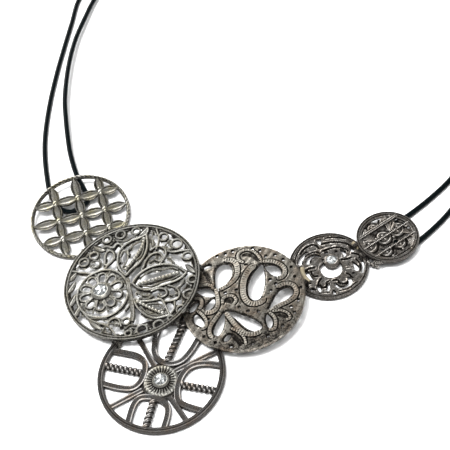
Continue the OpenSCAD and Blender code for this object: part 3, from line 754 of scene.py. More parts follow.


# %% Wheel disc, its bands
WHEEL_LOOPS = [
    [(-19.6, 4.9), (-15, 5.0), (-11, 4.9), (-8.2, 4.0), (-6.3, 2.0), (-5.5, -1.4), (-5.9, -4.6),
     (-7.6, -6.8), (-10.5, -7.6), (-14, -7.7), (-18.4, -7.4)],
    [(-6.6, 18.6), (-6.3, 14), (-5.6, 10), (-4.6, 7), (-2.5, 4.9), (0.5, 4.1), (3.5, 4.9), (5.7, 7),
     (7.1, 10.5), (8, 14.5), (8.6, 17.8)],
    [(18.7, 7.2), (14, 6.9), (10.5, 5.9), (8.2, 4), (7, 1.3), (6.7, -1.5), (7.2, -5), (8.6, -8),
     (11.2, -9.2), (17.4, -9.8)],
    [(-4.8, -19.4), (-5.2, -15), (-5, -11.7), (-3.6, -9.5), (0.3, -8.7), (3.6, -9.3), (5.8, -11),
     (6.7, -14), (6.9, -18.6)]]
WHEEL_BARS = [
    ((-19.4, -0.9), (-6.2, -0.9)), ((0.4, 4.6), (1.5, 19.8)), ((7.4, -2.3), (19.2, -2.0)),
    ((0.6, -9.2), (1.1, -19.8))]
WHEEL_SPOKES = [
    ((-14.6, 14.2), (-3.0, 2.2)), ((15.6, 12.4), (4.0, 1.8)), ((-13.2, -15.4), (-4.2, -6.8)),
    ((13.6, -14.6), (5.2, -7.2))]
print("the wheel has", len(WHEEL_LOOPS), "loops,", len(WHEEL_BARS), "bars and", len(WHEEL_SPOKES), "spokes")


# %% Wheel disc
def wheel_disc():
    """The rim, four loops of bordered band, a twisted bar in each, four spokes and a round plate
    under the hub."""
    work = Casting()
    rim(work, WHEEL_R - 1.95, WHEEL_R, -0.8, 0.8, dip=0.12, shine=0.6)
    for loop in WHEEL_LOOPS:
        ribbon(work, smooth(loop, 0.3), 1.95, -0.6, 0.55, crown=0.0, edge=0.14, shine=0.75)
    for a, b in WHEEL_BARS:
        line = even(np.array([a, b], float), 0.13)
        wire(work, line, 2.8, 1.8, z=0.12, kind="twisted", pitch=1.7, deep=0.3, bright=0.85)
    for a, b in WHEEL_SPOKES:
        ribbon(work, even(np.array([a, b], float), 0.4), 1.7, -0.5, 0.35, crown=0.0, edge=0.14, shine=0.7)
    plate_across, plate_up = [0.3, 6.7, 6.9, 6.7, 0.3], [-0.45, -0.45, -0.2, 0.0, 0.0]
    turned(work, HUB_AT, plate_across, plate_up, [0.1, 0.1, 0.2, 0.3, 0.1], 72, ring=False)
    work.place(WHEEL)
    set_in_place(work, "wheel_of_bands", "wheel_disc", charcoal_silver)


wheel_disc()


# %% The wheel's hub
def cup(work, centre, inside, outside, low, high):
    """A bezel: a round cup with a floor for its stone and a collar that slopes outwards, so that
    some part of it always throws the light back."""
    floor = high - 1.0
    turned(work, centre, [0.3, outside, outside, outside - 0.1, inside + 0.14, inside, inside, 0.3],
           [low, low, high - 0.62, high - 0.5, high, high - 0.04, floor, floor],
           [0.1, 0.1, 0.3, 1.0, 1.0, 0.8, 0.1, 0.1], 48, ring=False)


def fluted_hub():
    """A turned ring with 28 flutes, deepest near its inner edge, and the cup for the stone."""
    work = Casting()
    across = [3.0, 5.3, 5.75, 5.75, 5.3, 4.8, 4.3, 3.0, 2.2, 2.2]
    up = [-0.5, -0.5, -0.2, 0.35, 0.62, 0.72, 0.78, 0.66, 0.66, -0.5]
    worn = [0, 0.1, 0.3, 0.4, 0.56, 0.6, 0.66, 0.3, 0.1, 0]
    slots = [0, 0, 0, 0.04, 0.06, 0.14, 0.4, 0.36, 0, 0]
    turned(work, HUB_AT, across, up, worn, 8 * 28, flutes=28, depth=slots)
    cup(work, HUB_AT, 2.12, 2.85, 0.2, 1.45)
    work.place(WHEEL)
    piece = work.finish("fluted_hub", grey_silver)
    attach(piece, "root")


fluted_hub()


# %% [markdown]
# Four discs have sheet in them, pierced with a saw and then chased. It could be a plate with its
# openings cut by Boolean modifiers, but here a sheet is a square grid of points. A cell is kept
# where its middle is metal, and the points along the cut are moved onto the outline, so the saw
# line is smooth although the grid is plain. The distance to the cut then shapes the top, because
# a chased lip stands along each opening.


# %% Pierced sheet
def is_inside(points, outline):
    """True where a ray to the right crosses the outline an odd number of times."""
    a, b = outline, np.roll(outline, -1, 0)
    x, y = points[:, :1], points[:, 1:]
    spans = (a[:, 1] > y) != (b[:, 1] > y)
    rise = np.where(b[:, 1] == a[:, 1], 1e-9, b[:, 1] - a[:, 1])
    return (spans & (x < a[:, 0] + (y - a[:, 1]) * (b[:, 0] - a[:, 0]) / rise)).sum(1) % 2 == 1


def nearest(points, outline):
    """The closest outline point to each point, and how far it is: the least of all the distances."""
    parts = np.array_split(points, len(points) // 400 + 1)
    picked = [((p[:, None] - outline[None]) ** 2).sum(2).argmin(1) for p in parts]
    close = outline[np.concatenate(picked)]
    return close, np.linalg.norm(close - points, axis=1)


def pierced_sheet(work, radius, openings, surface, step, holes=(), wires=None, reach=1.0):
    """A round sheet with openings. surface(points, edge distance) gives its top, underside and
    values of wear and painted light. Holes are cut too, but the edge distance leaves them out, so they
    have no lip. If wires are given, the sheet ends at a certain reach from the nearest one."""
    cells_across = int(2 * radius / step) + 3
    axis = step * (np.arange(cells_across + 1) - cells_across / 2)
    x, y = np.meshgrid(axis, axis, indexing="ij")
    corner = np.column_stack([x.ravel(), y.ravel()])
    n = len(axis)
    middle = corner.reshape(n, n, 2)[:-1, :-1].reshape(-1, 2) + step / 2
    metal = np.linalg.norm(middle, axis=1) < radius
    edge = radius - np.linalg.norm(corner, axis=1)
    for k, outline in enumerate([*openings, *holes]):
        low, high = outline.min(0) - 2.0, outline.max(0) + 2.0
        near = np.flatnonzero(((middle > low) & (middle < high)).all(1))
        metal[near] &= ~is_inside(middle[near], outline)
        near = np.flatnonzero(((corner > low) & (corner < high)).all(1) & (k < len(openings)))
        if len(near):
            edge[near] = np.minimum(edge[near], nearest(corner[near], outline)[1])
    if wires is not None:
        metal &= nearest(middle, wires)[1] < reach
    metal = metal.reshape(n - 1, n - 1)
    for _ in range(3):  # two cells may not touch at one corner only
        a, b, c, d = metal[:-1, :-1], metal[1:, 1:], metal[1:, :-1], metal[:-1, 1:]
        c |= a & b & ~c & ~d
        a |= c & d & ~a & ~b
    kept = np.argwhere(metal)
    base = kept[:, 0] * n + kept[:, 1]
    cells = np.column_stack([base, base + n, base + n + 1, base + 1])
    share = np.bincount(cells.ravel(), minlength=n * n)
    rim_points = np.flatnonzero((share > 0) & (share < 4))
    t = np.linspace(0, 2 * np.pi, 1800, endpoint=False)
    cut = np.vstack([radius * np.column_stack([np.cos(t), np.sin(t)]), *openings, *holes])
    close, gap = nearest(corner[rim_points], cut)
    moved = gap < 1.1 * step
    corner[rim_points[moved]] = close[moved]
    if wires is not None:
        free = rim_points[~moved]
        close, away = nearest(corner[free], wires)
        ready = np.abs(away - reach) < 1.1 * step
        moved_out = close + (corner[free] - close) * (reach / np.maximum(away, 0.1))[:, None]
        corner[free[ready]] = moved_out[ready]
    edge[rim_points] = 0
    used = np.flatnonzero(share)
    index = np.full(n * n, -1)
    index[used] = np.arange(len(used))
    top, under, worn = surface(corner[used], edge[used])
    top = top - 0.14 * np.exp(-(edge[used] / 0.1) ** 2)
    walls = []
    for row, col, a, b in ((0, -1, 0, 1), (1, 0, 1, 2), (0, 1, 2, 3), (-1, 0, 3, 0)):
        padded = np.pad(metal, 1)
        open_side = ~padded[kept[:, 0] + 1 + row, kept[:, 1] + 1 + col]
        walls.append(np.column_stack([cells[open_side, b], cells[open_side, a]]))
    walls, count = index[np.vstack(walls)], len(used)
    quads = np.vstack([index[cells], index[cells][:, ::-1] + count,
                       np.column_stack([walls, walls[:, ::-1] + count])])
    points = np.vstack([np.column_stack([corner[used], top]), np.column_stack([corner[used], under])])
    work.add(points, quads, np.concatenate([worn, np.full(count, 0.12)]))


def closed(points, inset=0.0):
    """A smooth closed outline through a few points. An inset moves each point along its normal,
    towards the inside, whose side is told by the sign of the outline's area."""
    line = smooth(points, 0.09, closed=True)
    ahead = np.roll(line, -1, 0) - np.roll(line, 1, 0)
    ahead /= np.linalg.norm(ahead, axis=1, keepdims=True)
    area = np.sum(line[:, 0] * np.roll(line[:, 1], -1) - np.roll(line[:, 0], -1) * line[:, 1])
    return line + inset * np.sign(area) * np.column_stack([-ahead[:, 1], ahead[:, 0]])


def drilled(x, y, radius):
    """A small round hole's outline."""
    return round_line((x, y), radius, 0.08)


def carved(points, grooves):
    """How deep each point is sunk, by a round-bottomed groove about each line, and where the burr
    thrown up beside the groove stands: a bell about a distance of 1.7 half widths."""
    deep, burr = np.zeros(len(points)), np.zeros(len(points))
    for line, half, depth in grooves:
        away = nearest(points, smooth(line, 0.2))[1]
        deep = np.maximum(deep, depth * np.clip(1.3 - (away / half) ** 2, 0, 1))
        burr = np.maximum(burr, np.exp(-((away - 1.7 * half) / (0.5 * half)) ** 2))
    return deep, burr * (deep == 0)


print("a drilled hole of 1 mm has", len(drilled(0, 0, 0.5)), "points round it")


# %% [markdown]
# The largest disc is a filigree pattern: a stone flower in an oval ring, a stem with three leaves,
# and scrolls, with a border of small rings. It was cast in one, so a narrow web of sheet runs
# along its wires and joins them. The web is sunk beside each wire, which outlines it darkly.


# %% Floral disc, its outlines
PETALS = 10
OVAL_RING = ((-10.3, -3.3), (9.0, 9.8))  # middle, and half width and half height
STEM = [(-1.6, 1.0), (-1.2, -2), (-0.6, -8), (-0.4, -14), (-1, -17)]
LEAF_UP = [
    [(-1.8, 2.2), (-3.6, 5), (-4.4, 8), (-4, 11.5), (-2.5, 14.5), (0.5, 16.6), (4, 17.4), (6.6, 18.4)],
    [(-1.8, 2.2), (0.6, 4.6), (3.4, 6.6), (5.7, 10), (6.7, 14), (6.6, 18.4)]]
LEAF_UP_VEIN = [(-1.6, 5.0), (0.7, 7.6), (3, 10.6), (4.8, 13.6), (5.7, 16.6)]
LEAF_RIGHT = [
    [(0.2, -1.6), (2.6, 1.4), (6, 3.4), (10, 3.9), (13.8, 3.1), (17, 1.1), (19.3, -1.6)],
    [(0.2, -1.6), (2.4, -4.2), (5.5, -5.6), (10, -5.0), (14.5, -4.3), (17.5, -3.2), (19.3, -1.6)]]
LEAF_RIGHT_VEIN = [(2.6, -2.4), (9, -1.7), (16.2, -1.0)]
LEAF_DOWN = [
    [(0.2, -8), (3, -9.8), (6.5, -10.3), (9.6, -10.6), (10.8, -13.2), (12, -17.4)],
    [(0.2, -8), (1.4, -12), (4, -15.6), (7.2, -17.6), (12, -17.4)]]
LEAF_DOWN_VEIN = [(1.6, -9.6), (5, -12.5), (9.7, -16.2)]
LEAVES = [(LEAF_UP, LEAF_UP_VEIN), (LEAF_RIGHT, LEAF_RIGHT_VEIN), (LEAF_DOWN, LEAF_DOWN_VEIN)]
SCROLLS = [
    [(4.4, 4.0), (5.8, 7.2), (8, 9.1), (10.4, 9.1), (11.6, 7.2), (10.5, 5.5), (9.0, 6.4)],
    [(7.4, 10.9), (10, 12.1), (12.4, 10.6), (12.9, 8), (11.2, 5.2), (10, 3.9)],
    [(6.4, -6.4), (9, -5.9), (11.4, -6.9), (11.6, -9.0), (9.6, -9.6), (8.8, -8.0)],
    [(12.4, -5.4), (15, -7), (16.1, -9.4), (15, -11.6), (11.2, -11.8), (9.6, -10.7)],
    [(-9.0, 8.4), (-8.6, 12.6), (-7.4, 14.5), (-5.8, 13.4), (-5.5, 11), (-7, 9), (-9, 8.4)],
    [(-5.6, 15.2), (-4, 16.8), (-2.5, 15.4), (-2.4, 13.8)],
    [(-3.4, 10.6), (-2.2, 13.0), (-0.6, 12.6), (-0.4, 10.6)],
    [(-9.2, -17.2), (-8.6, -15.2), (-7, -14.3), (-5.2, -15.4), (-4.6, -18.2)],
    [(-21.0, 8.8), (-17.4, 7.2), (-14, 6.0)], [(-5.2, 10.8), (-8.2, 8.0), (-9.6, 6.2)],
    [(-3.0, -12.2), (-1.2, -10.0), (-0.6, -7.6)],
    [(-17.4, -9.6), (-14.6, -13.6), (-9.0, -17.2), (-6.4, -21.8)],
    [(13.4, 9.2), (15.4, 8.2), (18.8, 8.0), (21.6, 7.6)],
    [(9.6, 10.8), (10.6, 13.6), (10.9, 16.6), (10.4, 20.2)], [(6.6, 18.4), (7.4, 20.2), (7.0, 22.0)],
    [(11.8, -17.6), (13.8, -15.2), (14.2, -12.4)]]
BORDER_RINGS = [
    (12.6, 15.8, 2.0), (17.0, 11.6, 2.3), (20.3, 5.4, 2.0), (21.0, -4.8, 1.8), (19.2, -10.6, 2.2),
    (16.0, -16.0, 1.9), (8.0, -20.4, 2.1), (2.3, -21.0, 2.2), (-2.4, -21.4, 1.5), (-16.5, 11.6, 2.1),
    (-12.7, 13.6, 1.9), (-7.7, 19.7, 1.9), (-2.7, 20.6, 2.1), (3.0, 20.9, 1.8), (-2.9, -16.4, 1.7),
    (12.2, -18.6, 1.3)]
FINE_LINES = [
    [(-3.5, 8.6), (-3.1, 11.6), (-1.9, 12.9), (-0.8, 11.6), (-1.0, 9.0), (-2.4, 6.4)],
    [(0.2, 13.4), (1.6, 14.9), (4.0, 15.9), (5.4, 17.2)],
    [(2.0, 8.0), (4.0, 9.4), (5.0, 11.8), (5.4, 14.6)],
    [(3.4, 0.2), (6.0, 2.0), (9.0, 2.4), (11.4, 1.6), (14.0, 2.0), (16.6, 0.6)],
    [(3.4, -3.2), (6.6, -4.2), (10.4, -3.5), (13.8, -3.1), (16.8, -2.0)],
    [(4.8, -11.2), (7.4, -11.6), (9.4, -12.6), (10.4, -15.0)],
    [(3.0, -12.6), (4.6, -15.0), (7.4, -16.4), (10.0, -16.8)], [(7.0, 6.0), (9.0, 7.0), (9.4, 8.4)],
    [(1.6, -5.8), (3.6, -7.4), (6.0, -7.6)], [(6.8, -8.4), (4.8, -9.2), (2.6, -8.2)],
    [(-13.8, 9.6), (-12.4, 8.4), (-11.0, 9.2), (-11.2, 11.0), (-13.2, 11.6)],
    [(-10.4, 16.0), (-8.2, 16.6), (-6.4, 15.4)], [(-4.4, 18.6), (-1.4, 17.4), (1.0, 18.2), (3.2, 19.4)],
    [(12.6, 6.6), (14.4, 5.6), (15.4, 3.6)], [(-16.6, -12.0), (-13.0, -13.0), (-9.4, -13.6)],
    [(-12.0, -19.4), (-9.6, -16.6), (-7.4, -16.2), (-6.4, -17.6)],
    [(-3.4, -19.4), (-1.8, -18.2), (0.2, -18.8)], [(14.8, -7.6), (17.2, -6.0), (18.4, -3.4)],
    [(13.0, -9.6), (16.4, -9.2), (17.8, -7.4)], [(8.6, 12.6), (8.4, 15.8), (9.0, 18.8)],
    [(14.6, 13.6), (12.8, 11.6), (13.8, 9.8), (16.2, 10.4)]]
FLORAL_OVALS = [  # middle, half length, half width and direction of each opening
    (-16.3, 3, 1.5, 0.8, 47), (-20.3, -0.1, 1.1, 0.6, 32), (-20.4, -6.2, 1.5, 0.5, 102),
    (-16.5, -13.4, 3.8, 1.2, -46), (-12.4, -17.8, 1.1, 0.6, -8), (-2.8, -12.3, 2, 1, 62),
    (-8.7, -16.2, 1.6, 0.8, 52), (-6.9, -18.7, 1.6, 0.9, 82), (1.3, -13, 1.7, 1, 87),
    (-19.3, 11.5, 0.9, 0.6, 52), (-14.2, 16.7, 1, 0.6, 62), (-7.8, 20.5, 1.2, 0.9, 22),
    (-10.5, 18.3, 1, 0.5, 22), (-3.8, 21.1, 1.1, 0.8, 2), (-1, 16.6, 1.1, 0.8, 2),
    (-7.3, 13.1, 1.6, 1.1, 82), (-2, 10.9, 2.1, 1, 77), (-6.2, 8.3, 2.3, 1.1, 30),
    (-11.8, 10.5, 1.1, 0.5, -58), (-17.5, 8.4, 1.8, 0.6, -26), (-21, 3.8, 1.5, 0.8, 112),
    (-0.9, 8.4, 1.5, 0.8, 62), (3.1, 21.5, 1.7, 0.9, -6), (13.4, 16.9, 2.2, 0.9, -40),
    (10.2, 15, 2.7, 0.8, -73), (12.8, 12.9, 1.2, 0.8, -48), (17.4, 11.5, 2.4, 1.5, -48),
    (16.8, 4.3, 2.7, 1.1, -53), (12, 7.4, 2, 0.6, -73), (7.8, 8, 1.1, 0.8, 2), (2.8, 15.1, 1.5, 0.8, 22),
    (20, 6.1, 1.3, 1.2, 2), (6.2, 0.4, 2.7, 1, 10), (7.9, -7.1, 1.2, 1, 2), (13.7, -7.9, 1.7, 0.6, -78),
    (9.6, -12.1, 1.8, 0.8, -63), (12.4, -14.3, 2.2, 1, -78), (6.3, -16.2, 1.7, 0.6, -18),
    (17.6, -7.4, 1.6, 0.8, 72), (-14.8, 5.4, 1, 0.5, 2), (21.5, -4.5, 1.7, 1, 2),
    (19.2, -10.5, 2.4, 1.6, 62), (2, -20.9, 1.5, 1.2, 2), (7.3, -20.5, 1.5, 1.1, 2),
    (16, -15.6, 1.3, 1, 32), (-3, -16.5, 1.1, 1, 2), (-2.2, -21.3, 1, 0.9, 2), (0, -17, 1, 0.5, 92),
    (6.2, -18.2, 4.4, 0.4, 2), (1.1, 19.1, 1.2, 1, 2), (-12.5, 13.4, 1.3, 1.2, 2),
    (-16.4, 10.9, 1.5, 1, 32), (-4.9, 18.4, 1, 0.6, 2), (19.2, -2.4, 1.5, 0.6, 57),
    (-15.2, 13.9, 0.7, 0.5, 20), (-5.6, 17.6, 0.6, 0.5, 0), (0.6, 12.4, 0.7, 0.5, 50),
    (2.6, 12.2, 0.9, 0.4, 60), (4.6, 8.2, 0.6, 0.9, 0), (9.6, 11.4, 0.6, 0.4, 20),
    (14.6, 8.4, 0.8, 0.5, 30), (3.4, 1.8, 1, 0.5, 30), (12, 1.2, 1.6, 0.5, 0), (5.4, -3.6, 1.8, 0.5, -4),
    (11.4, -3.4, 1.8, 0.45, 4), (2.6, -6.6, 0.9, 0.4, -20), (10.4, -7.6, 0.6, 0.6, 0),
    (4.2, -9, 1.2, 0.4, -10), (3.4, -13.6, 0.9, 0.5, -40), (14.8, -12.6, 1, 0.5, 40),
    (-1.9, -14.6, 0.6, 0.7, 0), (-11.8, -14.2, 1.2, 0.5, -20), (-4.4, 11.6, 0.4, 0.9, 0),
    (-2.4, 4.6, 0.5, 0.8, 20), (-14.2, 8.2, 0.8, 0.5, 20), (-19, -8.2, 0.4, 1, 20),
    (16.4, -3.6, 0.9, 0.4, 20), (-21.3, -1.2, 0.4, 1, 0), (8.6, 17.6, 0.4, 1.3, 0)]
RIM_LEAVES = [
    ((-22.6, 4.6), (-19.4, 7.6)), ((-22.8, -0.6), (-19.8, 4.0)), ((-22.4, -6.6), (-19.6, -1.2)),
    ((-21.0, -11.0), (-18.4, -6.6)), ((-12.8, 17.6), (-8.6, 14.8)), ((19.2, 1.8), (22.2, -2.4)),
    ((4.4, 18.6), (7.8, 21.6)), ((-15.6, -13.4), (-11.4, -17.8))]
print("the floral disc has", len(SCROLLS), "scrolls and", len(FLORAL_OVALS), "openings")


# %% The flower and the sheet of the floral disc
def flower(work, middle, inner, outer):
    """Wire petals round a bezel: the radius reaches out by a power curve of the angle. Each petal's
    line is handed back, and an opening for the sheet inside it."""
    for k in range(PETALS):
        mid = 2 * np.pi * (k + 0.35) / PETALS
        spot = (middle[0] + 6.0 * np.cos(mid), middle[1] + 6.0 * np.sin(mid))
        t = np.linspace(-1, 1, 15)
        reach = inner + (outer - inner) * np.sqrt(np.clip(1 - np.abs(t) ** 2.6, 0, 1))
        angle = mid + t * np.pi / PETALS * 0.92
        line = np.column_stack([middle[0] + reach * np.cos(angle), middle[1] + reach * np.sin(angle)])
        ribbon(work, even(line, 0.25), 0.58, -0.4, 0.75, crown=0.2, shine=0.6)
        yield line, round_line(spot, (1.65, 1.2), 0.1, turn=mid)


def floral_grooves(petals):
    """The lines beside which the sheet is sunk, each with its groove's half width and depth."""
    sides = [side for leaf, _ in LEAVES for side in leaf]
    grooves = [(line, 0.8, 0.34) for line in sides + SCROLLS]
    grooves += [(line[::3], 0.6, 0.3) for line in petals]
    grooves += [(line, 0.6, 0.28) for line in FINE_LINES]
    grooves += [(round_line((x, y), r - 0.4, 1.0), 0.75, 0.34) for x, y, r in BORDER_RINGS]
    grooves += [(np.add(vein, (0.3, -0.9)), 0.4, 0.4) for _, vein in LEAVES]
    grooves.append((round_line((0, 0), FLORAL_R - 1.9, 2.0), 0.5, 0.4))
    grooves.append((round_line(*OVAL_RING, 1.5), 0.75, 0.3))
    return grooves


def floral_surface(points, edge, grooves):
    """A thin sheet with slow waves, sunk beside every wire and along the rim."""
    deep, burr = carved(points, grooves)
    x, y = points[:, 0], points[:, 1]
    waves = 0.08 * np.sin(1.5 * x + np.sin(1.1 * y)) * np.sin(1.3 * y + np.sin(0.9 * x))
    lip = np.exp(-((edge - 0.35) / 0.25) ** 2)
    top = 0.15 - deep + waves + 0.1 * lip + 0.08 * burr - 0.2 * np.exp(-(edge / 0.2) ** 2)
    return top, -0.4 + 0 * x, 0.6 + 2.4 * waves + 0.1 * lip + 0.2 * burr - 1.6 * deep


def floral_sheet(work, petals):
    """The web of sheet: it reaches 0.85 mm from the nearest wire, and the ovals are cut out of it."""
    grooves = floral_grooves([line for line, _ in petals])
    openings = [round_line((x, y), (1.12 * a, 1.2 * b), 0.1, turn=np.radians(way))
                for x, y, a, b, way in FLORAL_OVALS]
    drawn = [smooth(line, 0.3) for line, _, _ in grooves]
    drawn = np.vstack([*drawn, smooth(STEM, 0.3), round_line(FLOWER_AT, 3.4, 0.3)])

    def surface(points, edge):
        """The sheet's surface with these grooves."""
        return floral_surface(points, edge, grooves)

    pierced_sheet(work, FLORAL_R - 1.0, openings + [hole for _, hole in petals], surface, 0.3,
                  wires=drawn, reach=0.85)


# %% Floral disc
def floral_disc():
    """The rim, the flower and the sheet, the stem, three leaves with grains along their veins, the
    scrolls, the fine lines, the border, the oval ring, a wire and a grain between each two petals,
    and the stone's cup."""
    work = Casting()
    rim(work, FLORAL_R - 1.4, FLORAL_R, -0.9, 0.9, dip=0.22, shine=0.48)
    floral_sheet(work, list(flower(work, FLOWER_AT, 3.7, 7.6)))
    ribbon(work, smooth(STEM, 0.3), 1.4, -0.5, 0.75, crown=0.0, edge=0.25, shine=0.6)
    for leaf, vein in LEAVES:
        for side in leaf:
            ribbon(work, smooth(side, 0.3), 0.72, -0.4, 0.85, crown=0.25, shine=0.66)
        for spot in smooth(vein, 1.25):
            ball(work, (*spot, 0.45), 0.72, 0.7)
    for line in SCROLLS:
        ribbon(work, smooth(line, 0.28), 0.62, -0.4, 0.75, crown=0.22, shine=0.62)
    for line in FINE_LINES:
        wire(work, smooth(line, 0.25), 0.6, 0.8, z=0.2, sides=8)
    for x, y, r in BORDER_RINGS:
        ribbon(work, round_line((x, y), r - 0.4, 0.25), 0.65, -0.4, 0.7, crown=0.2, closed=True, shine=0.5)
    for a, b in RIM_LEAVES:
        petal(work, a, b, 2.2, z=0.1, scoop=0.4, vein=0.2, bend=1.4, shine=0.7)
    ribbon(work, round_line(*OVAL_RING, 0.3), 0.75, -0.4, 0.8, crown=0.22, closed=True, shine=0.65)
    for k in range(PETALS):
        turn = 2 * np.pi * (k + 0.85) / PETALS
        way = np.array([np.cos(turn), np.sin(turn)])
        wire(work, smooth(way * [[3.6], [5.2], [8.8]] + FLOWER_AT, 0.4), 0.8, 0.9, z=0.05, sides=8)
        ball(work, (*(np.array(FLOWER_AT) + 6.3 * way), 0.35), 0.5)
    cup(work, FLOWER_AT, 2.42, 3.55, -0.4, 1.7)
    work.place(FLORAL, MOTIF_TURN)
    for low, low_r in ((LATTICE, LATTICE_R), (WHEEL, WHEEL_R), (PAISLEY, PAISLEY_R)):
        add_links(work, low, low_r, 0.8, FLORAL, FLORAL_R)
    set_in_place(work, "flower_filigree", "floral_disc", grey_silver)


floral_disc()


# %% [markdown]
# The biggest sheet is slightly domed and carries a paisley pattern. Its teardrops are sawn out, and
# beside most of them runs a chased band with fine cross lines. The bands are crowned ribbons whose
# top dips with the cosine of length, laid on the dome.


# %% Paisley disc, its openings
TEARS = [
    [(-8.3, 4.0), (-8.5, 7.5), (-8.2, 11.5), (-7.2, 14.0), (-5.2, 15.1), (-3.1, 14.2), (-2.2, 12.0),
     (-2.5, 9.4), (-4.0, 7.0), (-6.4, 5.2)],
    [(8.2, 11.6), (6.0, 9.8), (4.0, 7.2), (2.6, 4.4), (2.0, 1.5), (2.2, -1.0), (3.4, -2.6), (5.0, -2.8),
     (6.4, -1.4), (7.6, 1.5), (8.3, 4.8), (8.5, 8.4)],
    [(8.9, 10.2), (10.4, 10.6), (12.2, 10.1), (13.6, 8.6), (14.2, 6.8), (13.6, 5.4), (12.3, 5.1),
     (11.0, 6.0), (9.8, 7.8)],
    [(7.8, -7.3), (9.5, -4.3), (11.2, -1.9), (13.0, -0.3), (15.0, 0.0), (16.5, -1.1), (16.6, -2.8),
     (15.0, -4.2), (12.5, -5.3), (10.0, -6.4)],
    [(6.9, -8.8), (8.0, -10.4), (8.3, -12.3), (7.6, -14.0), (6.6, -13.9), (6.2, -12.0), (6.3, -10.2)],
    [(-6.2, -4.5), (-4.0, -5.2), (-1.4, -7.0), (1.6, -9.1), (4.0, -11.5), (4.6, -13.3), (3.3, -14.2),
     (1.5, -14.0), (-0.5, -12.5), (-2.5, -9.8), (-4.5, -7.0)],
    [(-7.1, -4.8), (-8.8, -6.5), (-10.4, -8.6), (-11.4, -10.8), (-11.2, -12.5), (-9.8, -12.9),
     (-8.4, -11.4), (-7.4, -9.0), (-7.0, -6.8)],
    [(-15.3, 6.4), (-13.0, 6.9), (-10.8, 5.8), (-9.4, 4.0), (-9.3, 2.4), (-10.4, 2.2), (-12.2, 2.9),
     (-14.2, 4.4)],
    [(-13.2, -1.4), (-12.0, 0.2), (-10.2, 1.5), (-9.5, 1.0), (-9.6, -0.7), (-10.6, -2.0), (-12.0, -2.7),
     (-13.1, -2.4)],
    [(-17.4, -3.6), (-16.4, -2.8), (-15.2, -4.3), (-14.3, -6.3), (-14.2, -7.8), (-15.3, -8.3),
     (-16.6, -7.4), (-17.4, -5.6)],
    [(-12.8, 14.4), (-12.2, 15.4), (-10.8, 16.0), (-9.4, 15.8), (-9.3, 14.9), (-11.0, 14.6)],
    [(-8.5, -15.3), (-8.0, -14.0), (-6.8, -13.3), (-5.9, -13.7), (-6.6, -15.2), (-7.6, -15.8)],
    [(-19.0, -1.2), (-17.4, 0.9), (-15.9, 1.8), (-15.1, 1.1), (-16.2, -0.7), (-17.6, -1.7)]]
DRILLED = [
    (-6.7, 18.8), (-3.7, 18.9), (-1.0, 19.5), (5.8, 18.9), (8.3, 17.3), (9.9, 14.4), (13.1, 14.1),
    (15.5, 11.5), (17.7, 7.7), (18.3, 3.6), (19.5, -1.2), (17.9, -5.8), (15.2, -7.9), (15.9, -10.3),
    (11.3, -14.3), (2.8, 12.3), (-1.8, 2.7), (-5.6, 2.5), (-6.9, 0.2), (11.6, 2.0), (10.0, 4.0),
    (9.6, -0.4), (-1.7, -4.4), (1.0, -6.6), (4.4, -7.4), (-12.4, -6.3), (-14.7, -12.3), (-11.3, -15.5),
    (-6.4, -18.0), (0.7, -18.6), (6.0, -17.0)]
HOLLOWS = [  # a hollow's line, its half width and its depth
    ([(2.8, 16.6), (4.4, 16.4), (6.2, 14.9), (7.4, 13.2)], 0.8, 0.34),
    ([(9.8, -9.8), (11.2, -10.3), (12.7, -11.4)], 0.7, 0.36), ([(-5.6, -0.6), (-3.9, -1.8)], 0.8, 0.4),
    ([(-5.4, -14.2), (-4.0, -16.0), (-3.2, -18.0)], 0.75, 0.34),
    ([(-11.6, 12.6), (-10.6, 10.2), (-10.4, 7.8)], 0.9, 0.3),
    ([(-13.4, -17.0), (-10.2, -18.6)], 0.5, 0.3), ([(5.4, 7.4), (4.2, 9.6)], 0.1, 0.02)]
